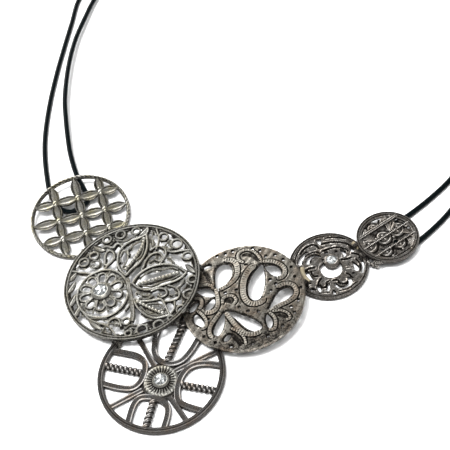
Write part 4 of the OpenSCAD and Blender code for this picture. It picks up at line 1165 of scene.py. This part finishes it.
CHASED = [  # a cross-lined band: its middle line and its width at either end
    ([(-4.2, 16.2), (-2.0, 15.6), (-0.6, 13.8), (-0.3, 11.4), (-0.7, 8.8), (-2.2, 6.6), (-4.8, 5.0),
      (-7.6, 4.1)], 1.9, 1.3),
    ([(5.9, 11.6), (3.4, 9.3), (1.7, 6.8), (0.8, 4.2), (0.4, 1.2), (0.6, -1.4), (1.8, -3.6), (3.9, -4.5),
      (6.0, -4.1), (7.3, -2.8)], 2.3, 1.7),
    ([(8.6, 12.2), (11.6, 11.6), (13.9, 10.0), (15.3, 7.8), (15.2, 5.6), (13.9, 4.2),
      (12.2, 4.1)], 1.3, 1.5),
    ([(11.6, 0.4), (14.6, 1.3), (17.0, 0.4), (17.9, -1.9), (17.2, -4.2), (15.0, -5.6), (12.2, -6.5),
      (9.0, -7.8)], 1.4, 1.5),
    ([(7.8, -8.6), (9.1, -10.6), (9.3, -12.8), (8.5, -14.9), (6.6, -15.0)], 1.0, 1.0),
    ([(-6.4, -5.4), (-5.2, -8.0), (-3.8, -10.9), (-2.3, -13.2), (-0.7, -14.8), (1.6, -15.4),
      (4.2, -15.0)], 1.5, 1.7),
    ([(-8.0, -4.8), (-10.2, -6.9), (-12.1, -9.2), (-12.7, -11.6), (-12.0, -13.7)], 1.2, 1.3),
    ([(-14.6, 7.9), (-11.6, 7.5), (-9.4, 6.2)], 1.0, 0.9),
    ([(-8.6, 5.0), (-8.4, 2.0), (-8.5, -1.0), (-9.4, -3.2), (-11.4, -4.0), (-13.4, -3.4)], 1.1, 1.6),
    ([(-18.4, 2.4), (-16.2, 3.2), (-14.2, 2.2), (-14.0, 0.2), (-15.0, -1.6)], 1.1, 1.2),
    ([(-15.9, -1.9), (-14.4, -3.9), (-13.3, -6.4), (-13.6, -8.6), (-15.3, -9.4)], 0.9, 1.1),
    ([(2.2, 13.2), (0.6, 15.0), (0.8, 17.6), (2.8, 18.8), (5.4, 18.0), (7.2, 15.8),
      (8.2, 13.0)], 1.0, 0.9),
    ([(-7.0, -1.8), (-6.6, 0.2), (-4.9, 0.9), (-3.0, 0.2), (-2.4, -1.6), (-3.6, -3.0)], 1.0, 1.0),
    ([(-5.4, -11.6), (-3.2, -13.6), (-1.7, -16.0), (-1.4, -18.6)], 0.9, 0.8),
    ([(8.8, -8.6), (11.4, -8.6), (13.6, -10.0), (14.2, -12.0), (12.6, -12.6)], 0.8, 0.8)]
DOME_FLAT, DOME_EDGE, DOME_RISE = 7.5, 19.2, 0.8
print("the paisley disc has", len(TEARS), "openings,", len(DRILLED), "holes and", len(CHASED), "bands")


# %% The dome and the bands laid on it
def dome(points):
    """Height of the dome: it rises in a straight slope with rounded ends, from the edge inwards."""
    t = np.clip((DOME_EDGE - np.linalg.norm(points[:, :2], axis=1)) / (DOME_EDGE - DOME_FLAT), 0, 1)
    return DOME_RISE * t * t * (3 - 2 * t)


def laid(line):
    """A flat line lifted onto the dome."""
    return np.column_stack([line, dome(line)])


def band(line, first, last):
    """A chased band: its middle line, and a width that changes evenly and is blunt at the ends."""
    line = smooth(line, 0.12)
    blunt = np.clip(0.45 + 4 * np.sin(np.linspace(0, np.pi, len(line))), 0, 1)
    return line, np.linspace(first, last, len(line)) * blunt


def band_sides(line, width):
    """The two lines that run beside a band, a little off its borders."""
    across = frame_along(laid(line), False)[0][:, :2]
    return [(line + side * across * (width / 2 + 0.2)[:, None])[::6] for side in (-1, 1)]


# %% Paisley disc
def paisley_surface(points, edge):
    """The dome, a bevel along each cut, the hollows, grooves beside the bands, a painted highlight
    along the outer edge, painted shade towards the lower right, and a slight unevenness left by the hammer."""
    outside = PAISLEY_R - np.linalg.norm(points, axis=1)
    bevel = np.exp(-(edge / 0.42) ** 2) * (edge < outside - 0.02)
    deep = carved(points, HOLLOWS)[0]
    beside = [(side, 0.3, 0.3) for row in CHASED for side in band_sides(*band(*row))]
    fine, burr = carved(points, beside)
    x, y = points[:, 0], points[:, 1]
    waves = 0.06 * np.sin(1.7 * x + 0.6 * np.sin(1.1 * y)) * np.sin(1.5 * y + 0.8 * np.sin(0.9 * x))
    top = 0.32 + dome(points) - 0.3 * bevel - np.maximum(deep, fine) + waves + 0.04 * burr
    # Painted shade: the sheet is made darker towards its lower right.
    painted_shade = 0.2 * np.clip((-11 - y + 0.2 * x) / 6, 0, 1)
    # A painted highlight in a thin band just inside the outer edge.
    painted_edge_highlight = 0.3 * np.exp(-((outside - 0.25) / 0.2) ** 2)
    worn = 0.47 - painted_shade - deep - 1.6 * fine - 0.4 * bevel + 0.12 * burr + 1.6 * waves + painted_edge_highlight
    return top, dome(points) - 0.8 + 0 * x, worn


def paisley_disc():
    """The domed sheet with its teardrops and drilled holes, and the cross-lined bands laid on it."""
    work = Casting()
    holes = [drilled(*spot, 0.5) for spot in DRILLED]
    pierced_sheet(work, PAISLEY_R, [closed(tear) for tear in TEARS], paisley_surface, 0.2, holes)
    for row in CHASED:
        line, width = band(*row)
        ribbon(work, laid(line), width, -0.2, 0.46, crown=0.06, hatch=0.2, pitch=0.9, shine=0.78)
    work.place(PAISLEY, MOTIF_TURN)
    add_links(work, ARCH, ARCH_R, 1.0, PAISLEY, PAISLEY_R)
    set_in_place(work, "paisley_sheet", "paisley_disc", brown_silver)


paisley_disc()


# %% [markdown]
# The small sheet between the paisley and the bar disc has an open middle with a stone over its
# upper side. Round it stand lobes of nested arches: ridges with deep grooves and narrow cuts
# between them. The ridges could be wires on a plate, but they rise softly out of the metal, so
# they are what is left of a sheet between its carved grooves.


# %% Arch disc, its cuts and grooves
ARCH_CUTS = [
    [(-10.3, 2.3), (-9.6, 4.6), (-8.0, 6.5), (-6.3, 7.5), (-6.2, 6.5), (-7.3, 5.3), (-8.5, 3.7),
     (-9.0, 2.0)],
    [(-7.6, 2.0), (-7.0, 4.0), (-5.6, 5.3), (-3.7, 5.6), (-1.8, 4.4), (-2.2, 3.8), (-3.8, 4.4),
     (-5.1, 4.0), (-6.0, 2.9), (-6.2, 1.9)],
    [(-2.5, 11.4), (-0.5, 11.5), (-0.8, 9.9), (-1.4, 9.1)],
    [(-0.8, -12.0), (0.5, -12.0), (0.1, -10.4), (-0.5, -10.4)],
    [(5.1, 5.9), (6.8, 4.5), (6.6, 2.9), (5.4, 2.1), (5.7, 3.6), (5.2, 4.6)],
    [(8.1, 6.4), (9.9, 5.1), (9.4, 3.7), (8.4, 4.2), (8.5, 5.2)],
    [(8.0, 0.0), (9.2, -1.0), (10.0, -3.4), (9.0, -4.3), (8.1, -3.6), (8.2, -1.8)],
    [(11.1, 1.4), (12.0, -0.8), (11.9, -2.8), (10.9, -5.4), (10.1, -5.3), (10.9, -2.8), (10.9, -1.0),
     (10.5, 0.8)],
    [(-5.6, -7.4), (-5.4, -9.4), (-4.6, -10.4), (-4.1, -9.2), (-4.5, -7.6)],
    [(-1.0, -7.3), (-1.1, -9.2), (-2.0, -10.6), (-2.7, -9.7), (-2.0, -8.4), (-1.9, -7.3)],
    [(0.3, -7.8), (0.9, -9.4), (2.5, -10.4), (4.3, -10.3), (6.0, -9.4), (6.8, -7.8), (6.2, -6.1),
     (5.1, -6.4), (5.3, -8.0), (4.0, -9.0), (2.6, -9.2), (1.6, -8.5), (1.2, -7.6)],
    [(-8.6, -1.0), (-7.1, -1.2), (-6.7, -3.0), (-5.8, -4.9), (-7.5, -4.6), (-8.5, -2.9)],
    [(-0.4, 5.9), (0.8, 5.7), (0.5, 4.7), (-0.5, 4.9)], [(-9.4, -5.9), (-7.8, -6.2), (-8.5, -5.0)],
    [(-8.4, -9.2), (-6.6, -9.2), (-7.4, -7.9)]]
ARCH_GROOVES = [  # a groove's line, its half width and its depth
    ([(1.0, 11.5), (3.4, 11.3), (5.6, 10.7), (7.4, 9.9)], 0.3, 0.5),
    ([(-0.6, 9.2), (1.5, 9.4), (4.0, 9.1), (6.4, 8.4), (8.2, 7.2), (9.4, 5.6)], 0.36, 0.6),
    ([(-0.9, 6.2), (1.0, 6.6), (3.2, 6.9), (5.2, 6.5), (6.3, 5.6)], 0.34, 0.6),
    ([(-8.6, 6.6), (-7.2, 8.2), (-5.4, 9.2), (-3.6, 9.5), (-2.4, 8.6), (-2.0, 7.6)], 0.34, 0.6),
    ([(-8.6, 2.4), (-8.2, 4.2), (-6.8, 5.4), (-5.0, 6.1), (-3.2, 6.3), (-2.0, 5.4)], 0.3, 0.55),
    ([(-5.8, 2.0), (-5.6, 3.2), (-4.6, 4.0)], 0.26, 0.45),
    ([(4.8, 1.35), (6.4, 1.2), (8.2, 1.5)], 0.34, 0.6),
    ([(8.9, 3.1), (10.4, 2.6), (11.4, 1.4)], 0.36, 0.6),
    ([(9.6, 0.6), (10.3, -1.0), (10.4, -3.0), (9.8, -4.8)], 0.24, 0.5),
    ([(5.4, -4.7), (6.2, -5.4), (7.0, -6.8)], 0.3, 0.6),
    ([(-8.2, -0.8), (-6.6, -0.2), (-4.8, 0.0)], 0.38, 0.6),
    ([(-6.3, -1.4), (-6.2, -2.6), (-5.6, -3.6), (-4.4, -3.8)], 0.32, 0.55),
    ([(-3.5, -5.0), (-4.4, -6.2), (-5.0, -7.6)], 0.3, 0.5),
    ([(-4.2, -7.6), (-3.9, -8.5), (-3.0, -8.9), (-2.1, -8.4), (-1.9, -7.4)], 0.38, 0.6),
    ([(-1.8, -6.8), (-0.9, -6.5)], 0.26, 0.5), ([(0.4, -6.6), (1.8, -6.6), (2.1, -7.4)], 0.28, 0.5),
    ([(2.0, -7.8), (2.9, -8.5), (4.2, -8.6), (5.2, -8.1), (5.6, -7.2)], 0.34, 0.6),
    ([(-7.7, -8.8), (-6.9, -8.3), (-6.2, -9.2)], 0.26, 0.5), ([(-9.0, -6.2), (-7.4, -6.3)], 0.3, 0.5),
    ([(-4.0, -10.6), (-1.6, -11.2)], 0.22, 0.3), ([(1.6, -11.2), (4.8, -10.8), (7.6, -9.0)], 0.22, 0.3),
    ([(-11.0, 3.4), (-10.2, 6.0), (-8.4, 8.6)], 0.22, 0.3), ([(5.6, -2.4), (7.6, -2.5)], 0.22, 0.4),
    ([(7.6, 4.4), (7.0, 5.6)], 0.26, 0.5)]
ARCH_MIDDLE = [
    (-3.1, -0.6), (-2.2, 0.6), (-0.9, 1.4), (0.8, 1.7), (2.6, 1.4), (4.0, 0.4), (4.3, -1.6), (3.7, -3.6),
    (2.2, -4.9), (0.2, -5.2), (-1.6, -4.5), (-2.8, -2.8)]
ARCH_DOTS = [(7.5, -5.1), (-1.4, 2.4), (-9.6, 0.6), (3.5, 5.1)]
ARCH_BALLS = [(13.5, -2.0, 0.5), (14.7, -2.8, 0.2), (15.9, -3.5, -0.1)]
print("the arch disc has", len(ARCH_CUTS), "cuts and", len(ARCH_GROOVES), "grooves")


# %% Arch disc
def arch_surface(points, edge):
    """A sheet with a soft lip along each cut and a burr beside each groove."""
    lip = np.exp(-((edge - 0.3) / 0.2) ** 2)
    deep, burr = carved(points, ARCH_GROOVES)
    x, y = points[:, 0], points[:, 1]
    waves = 0.06 * np.sin(2.1 * x + np.sin(1.3 * y)) * np.sin(1.9 * y + np.sin(1.2 * x))
    top = 0.45 + 0.08 * lip + 0.12 * burr - deep + waves - 0.25 * np.exp(-(edge / 0.16) ** 2)
    worn = 0.38 + 0.25 * lip + 0.35 * burr + 2.0 * waves - 1.4 * deep - 0.4 * (edge < 0.05)
    return top, -0.4 + 0 * x, worn


def arch_disc():
    """The carved sheet, its rim, three balls in a row at its edge, and the stone's cup."""
    work = Casting()
    openings = [closed(cut, 0.13) for cut in ARCH_CUTS] + [closed(ARCH_MIDDLE)]
    holes = [drilled(*spot, 0.42) for spot in ARCH_DOTS]
    pierced_sheet(work, ARCH_R - 0.3, openings, arch_surface, 0.16, holes)
    rim(work, ARCH_R - 1.15, ARCH_R, -1.0, 0.8, dip=0.25, sides=110, shine=0.45)
    for spot in ARCH_BALLS:
        ball(work, spot, 0.85, shine=0.3)
    cup(work, SETTING_AT, 1.84, 2.75, -0.5, 1.4)
    work.place(ARCH, MOTIF_TURN)
    set_in_place(work, "nested_arches", "arch_disc", arch_silver)


arch_disc()


# %% [markdown]
# The smallest disc has straight beaded bars, and half rings with an eye stand on each of them.
# Fans of fine wire fill the corners. Half rings could be turned forms cut in two, but ribbons can
# swell towards their middle as these do. So it is made as the floral disc is, only finer.


# %% Bar disc, its parts
BARS = [(5.6, 0.8), (4.9, 0.5), (0.5, 1.0), (-4.3, 0.5), (-8.3, 0.3)]  # y, and how worn
HALF_RINGS = [  # middle x, bar y, radius, and 1 above the bar or -1 below it
    (-1.7, 5.5, 2.3, 1), (3.5, 5.5, 2.2, 1), (-5.0, 5.5, 1.3, 1), (6.4, 5.5, 1.2, 1), (-6.9, 0.5, 2.7, 1),
    (-1.1, 0.5, 2.7, 1), (5.2, 0.5, 2.6, 1), (-7.3, 0.5, 2.7, -1), (-1.3, 0.5, 2.8, -1),
    (4.2, 0.5, 2.8, -1), (8.2, 0.5, 1.3, -1), (-4.2, -4.3, 2.3, -1), (1.5, -4.3, 2.4, -1),
    (7.2, -4.3, 1.3, -1)]
FANS = [
    (1.9, 1.2, 4.4, 20, 75), (-4.2, 1.2, 4.2, 95, 135), (3.9, -8.2, 3.6, 35, 75),
    (-7.6, -4.6, 3.2, 200, 255), (7.2, -3.9, 3.0, 95, 130)]
GRAINS = [
    (2.3, 1.5), (-2.7, 1.6), (-3.7, 1.5), (-4.3, 6.6), (6.2, 6.6), (1.5, -1.5), (-2.3, -4.3), (0.2, -4.4),
    (-7.2, -4.4), (-3.6, -7.6), (0.8, -7.4), (3.2, -9.0), (5.3, 3.0), (8.4, 6.0), (-7.8, 2.9),
    (6.4, -6.4)]
BAR_CUTS = [
    [(-0.4, 9.3), (2.2, 9.0), (1.8, 7.7), (1.0, 7.4)],
    [(-4.7, 8.5), (-3.0, 8.9), (-3.2, 8.1), (-4.4, 7.8)],
    [(6.3, 5.0), (7.7, 4.8), (8.7, 3.4), (7.4, 3.7)],
    [(7.8, -0.3), (9.3, -0.3), (9.2, -2.1), (8.2, -1.5)], [(5.6, -3.6), (7.4, -3.6), (6.6, -2.1)],
    [(-4.9, -2.0), (-4.0, -3.5), (-5.1, -3.7)], [(2.9, 0.95), (4.7, 0.95), (4.9, 2.6), (3.6, 2.1)],
    [(5.9, 1.0), (7.3, 1.0), (7.3, 3.5), (6.4, 4.0), (5.6, 3.2)],
    [(8.3, 1.0), (9.6, 1.2), (9.2, 3.0), (8.4, 3.2)], [(0.1, -3.6), (2.1, -3.6), (1.1, -2.1)],
    [(-0.3, -5.1), (0.5, -5.1), (0.2, -6.4)], [(2.4, -5.1), (3.6, -5.1), (2.9, -6.5)],
    [(2.2, 8.3), (3.2, 8.8), (4.2, 8.2), (3.2, 7.9)],
    [(4.9, -5.0), (6.8, -5.0), (6.4, -5.7), (5.2, -5.6)], [(4.2, -6.8), (6.2, -7.0), (5.4, -7.9)],
    [(-8.8, 2.4), (-8.0, 1.0), (-8.9, 1.0)], [(-8.6, -0.2), (-8.4, -1.4), (-9.2, -1.0)]]
print("the bar disc has", len(HALF_RINGS), "half rings and", len(GRAINS), "grains")


# %% Bar disc
def bar_backing(points, edge):
    """A thin sheet behind the wires with slow waves, sunk along the outside of each half ring."""
    waves = np.sin(2.3 * points[:, 0]) * np.sin(2.0 * points[:, 1])
    outlines = [(round_line((x, y), r + 0.2, 0.4, (way < 0) * np.pi, np.pi), 0.4, 0.3)
                for x, y, r, way in HALF_RINGS]
    deep = carved(points, outlines)[0]
    return -0.05 + 0.05 * waves - deep, -0.6 + 0 * edge, 0.28 + 0.15 * waves - 1.0 * deep


def bar_disc():
    """The sheet and its rim, bars with a beaded wire on each, half rings whose width swells with
    the sine of the place along them, an eye in each large one, fans of rays, and grains."""
    work = Casting()
    pierced_sheet(work, BAR_R - 0.6, [closed(cut) for cut in BAR_CUTS], bar_backing, 0.19)
    rim(work, BAR_R - 1.15, BAR_R, -0.8, 0.8, dip=0.2, sides=96, shine=0.45)
    ribbon(work, round_line((0, 0), BAR_R - 1.55, 0.4), 0.75, -0.5, 0.45, closed=True, shine=0.4)
    for y, worn in BARS:
        reach = np.sqrt((BAR_R - 0.9) ** 2 - y**2)
        line = even(np.array([(-reach, y), (reach, y)]), 0.1)
        ribbon(work, line, 0.75, -0.5, 0.2, shine=0.1)
        wire(work, line, 0.5, 0.6, z=0.44, kind="beaded", pitch=0.62, bright=1.3 * worn)
    for x, y, r, way in HALF_RINGS:
        start = (way < 0) * np.pi
        arc = round_line((x, y), r - 0.5, 0.16, start, np.pi)
        width = 0.3 + 0.65 * np.sin(np.linspace(0, np.pi, len(arc)))
        ribbon(work, arc, width, -0.4, 0.42, crown=0.3, shine=0.9)
        if r > 2:
            eye = round_line((x, y), 0.38 * r, 0.16, start, np.pi)
            ribbon(work, eye, 0.4, -0.4, 0.3, crown=0.2, shine=0.5)
            ball(work, (x, y + way * 0.9, 0.2), 0.5, 0.8)
    for x, y, r, start, stop in FANS:
        for turn in np.radians(np.linspace(start, stop, 5)):
            ray = np.array([(x, y), (x + r * np.cos(turn), y + r * np.sin(turn))])
            ribbon(work, even(ray, 0.5), 0.36, -0.4, 0.3, shine=0.7)
    for x, y in GRAINS:
        ball(work, (x, y, 0.3), 0.5, 0.8)
    work.place(BAR)
    add_links(work, ARCH, ARCH_R, 1.0, BAR, BAR_R)
    hoop(work, (58.6, 1.2), 0, *CORD_BAIL)
    set_in_place(work, "barred_filigree", "bar_disc", arch_silver)


bar_disc()


# %% [markdown]
# Two of the links are of another metal, a yellow brass that shows between the arch disc and its
# neighbours. Each is a little bent strip, so a crowned ribbon along a short curve is enough.


# %% Brass links
BRASS_STRIPS = [  # a strip's line, its width and how high its top is
    ([(-9.0, 0.6), (-9.2, -1.4), (-8.7, -3.6), (-7.6, -5.6)], 1.5, 1.1),
    ([(9.9, 7.6), (10.9, 6.2), (11.5, 4.6)], 1.4, 1.0)]


def brass_links():
    """Both strips in one mesh, placed as the arch disc is."""
    work = Casting()
    for line, width, high in BRASS_STRIPS:
        ribbon(work, smooth(line, 0.3), width, -0.3, high, crown=0.5, shine=0.8)
    work.place(ARCH, MOTIF_TURN)
    piece = work.finish("brass_links", brass)
    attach(piece, "root")


brass_links()


# %% [markdown]
# The clasp lies at the back of the neck, outside the photo. It is the plain kind: a closed barrel,
# and a crimp at either end that is pressed on the two strands. A barrel could be turned, but the
# crimps are flat, so both are lofts along the same line, whose width and height change on the way.


# %% Clasp
CLASP_X, CLASP_Y = 38, 199
BARREL_D, BARREL_HALF, CRIMP_HALF, CRIMP_OUT = 4.0, 5.2, 2.25, 6.75


def clasp_part(work, middle, x, wide, high, power):
    """A loft along x whose section is a rounded box: cos and sin to a power, times half sizes."""
    t = 2 * np.pi * np.arange(28) / 28
    c, s = np.cos(t), np.sin(t)
    box = np.stack([np.sign(c) * np.abs(c) ** power, np.sign(s) * np.abs(s) ** power], -1)
    size = np.stack([wide, high], -1)[:, None] / 2
    line = np.column_stack([middle[0] + x, 0 * x + middle[1], 0 * x + middle[2]])
    loft(work, line, box * size, 0.45 + 0.35 * s)


def clasp():
    """The barrel's thickness falls near its ends with the root of one minus a power of the place
    along it, and three grooves are bells about fixed places. A crimp has two dents of that kind."""
    work = Casting()
    x = np.linspace(-BARREL_HALF, BARREL_HALF, 53)
    groove = 0.28 * np.exp(-((np.abs(x) - 3.6) / 0.25) ** 2) + 0.2 * np.exp(-(x / 0.22) ** 2)
    ends = np.minimum(1, 0.72 + 0.28 * np.sqrt(np.clip(1 - (np.abs(x) / BARREL_HALF) ** 8, 0, 1)))
    thick = BARREL_D * ends - groove
    clasp_part(work, (CLASP_X, CLASP_Y, 2.0), x, thick, thick, 1.0)
    x = np.linspace(-CRIMP_HALF, CRIMP_HALF, 31)
    dent = np.exp(-((np.abs(x) - 0.9) / 0.35) ** 2)
    soft = 1 - 0.16 * (np.abs(x) / CRIMP_HALF) ** 10
    for side in (-1, 1):
        middle = (CLASP_X + side * CRIMP_OUT, CLASP_Y, 1.4)
        clasp_part(work, middle, x, 5.2 * soft, (2.8 - 0.5 * dent) * soft, 0.55)
    return set_in_place(work, "barrel_and_crimps", "clasp", silver)


clasp_piece = clasp()
for cord, line in cords:
    round(lengths(line)[-1] * MM, 3)
    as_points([tuple(p) for p in line[::2] * MM] + [tuple(line[-1] * MM)])


# %% [markdown]
# The set is a plain pale table under two soft lamps. The smaller one stands a little to the left
# and draws the short shadows, and the wide one overhead fills them. Metal shows what stands round
# it, so the room is dim with three soft windows: their reflections are the bright lines on wires
# and slopes, and the dark room gives the contrast.


# %% Table, lamps and sky
def make_table():
    """A wide flat square, matt and nearly white."""
    points = np.array([(-1.5, -1.5, 0), (1.5, -1.5, 0), (1.5, 1.5, 0), (-1.5, 1.5, 0)], float)
    material = bpy.data.materials.new("table_white")
    _, shader, _ = nodes_of(material)
    shader.inputs["Base Color"].default_value = (0.88, 0.88, 0.88, 1)
    shader.inputs["Roughness"].default_value = 0.9
    shader.inputs["Specular IOR Level"].default_value = 0.1
    table = make_piece("table_top", points, [[0, 1, 2, 3]], material)


def add_lamp(name, at, size, power):
    """A square area lamp that points at the origin. Metal shows the room instead of the lamp."""
    lamp = bpy.data.lights.new(name, "AREA")
    lamp.size, lamp.energy = size, power
    holder = bpy.data.objects.new(name, lamp)
    holder.location = at
    holder.rotation_euler = (-Vector(at)).to_track_quat("-Z", "Y").to_euler()
    holder.visible_glossy = False
    scene.collection.objects.link(holder)


def make_room(room, windows):
    """A dim even room with soft windows: the strength rises where the direction's dot product with
    a window's direction passes from the cosine of the outer to that of the inner angle."""
    world = bpy.data.worlds.new("room")
    world.use_nodes = True
    tree = world.node_tree
    look_at = tree.nodes.new("ShaderNodeTexCoord")
    total = None
    for strength, azimuth, height, outer, inner in windows:
        az, el = np.radians((azimuth, height))
        dot = tree.nodes.new("ShaderNodeVectorMath")
        dot.operation = "DOT_PRODUCT"
        dot.inputs[1].default_value = (np.cos(az) * np.cos(el), np.sin(az) * np.cos(el), np.sin(el))
        tree.links.new(look_at.outputs["Generated"], dot.inputs[0])
        level = tree.nodes.new("ShaderNodeMapRange")
        level.interpolation_type = "SMOOTHSTEP"
        spread = np.cos(np.radians((outer, inner)))
        values = (*spread, 0.0 if total else room, strength)
        for key, value in zip(("From Min", "From Max", "To Min", "To Max"), values):
            level.inputs[key].default_value = value
        tree.links.new(dot.outputs["Value"], level.inputs["Value"])
        added = tree.nodes.new("ShaderNodeMath")
        tree.links.new(level.outputs[0], added.inputs[0])
        added.inputs[1].default_value = 0.0
        if total:
            tree.links.new(total, added.inputs[1])
        total = added.outputs[0]
    tree.links.new(total, tree.nodes["Background"].inputs["Strength"])
    tree.nodes["Background"].inputs["Color"].default_value = (1, 1, 1, 1)
    scene.world = world


make_table()
add_lamp("key_lamp", (-0.15, -0.06, 0.74), 0.24, 7.6)
add_lamp("overhead_lamp", (0.1, -0.1, 1.1), 1.2, 11.0)
make_room(0.13, [(4.0, 105, 18, 27, 10), (2.6, 140, 32, 22, 8), (2.4, 270, 76, 24, 8)])
scene.view_settings.view_transform = "Standard"
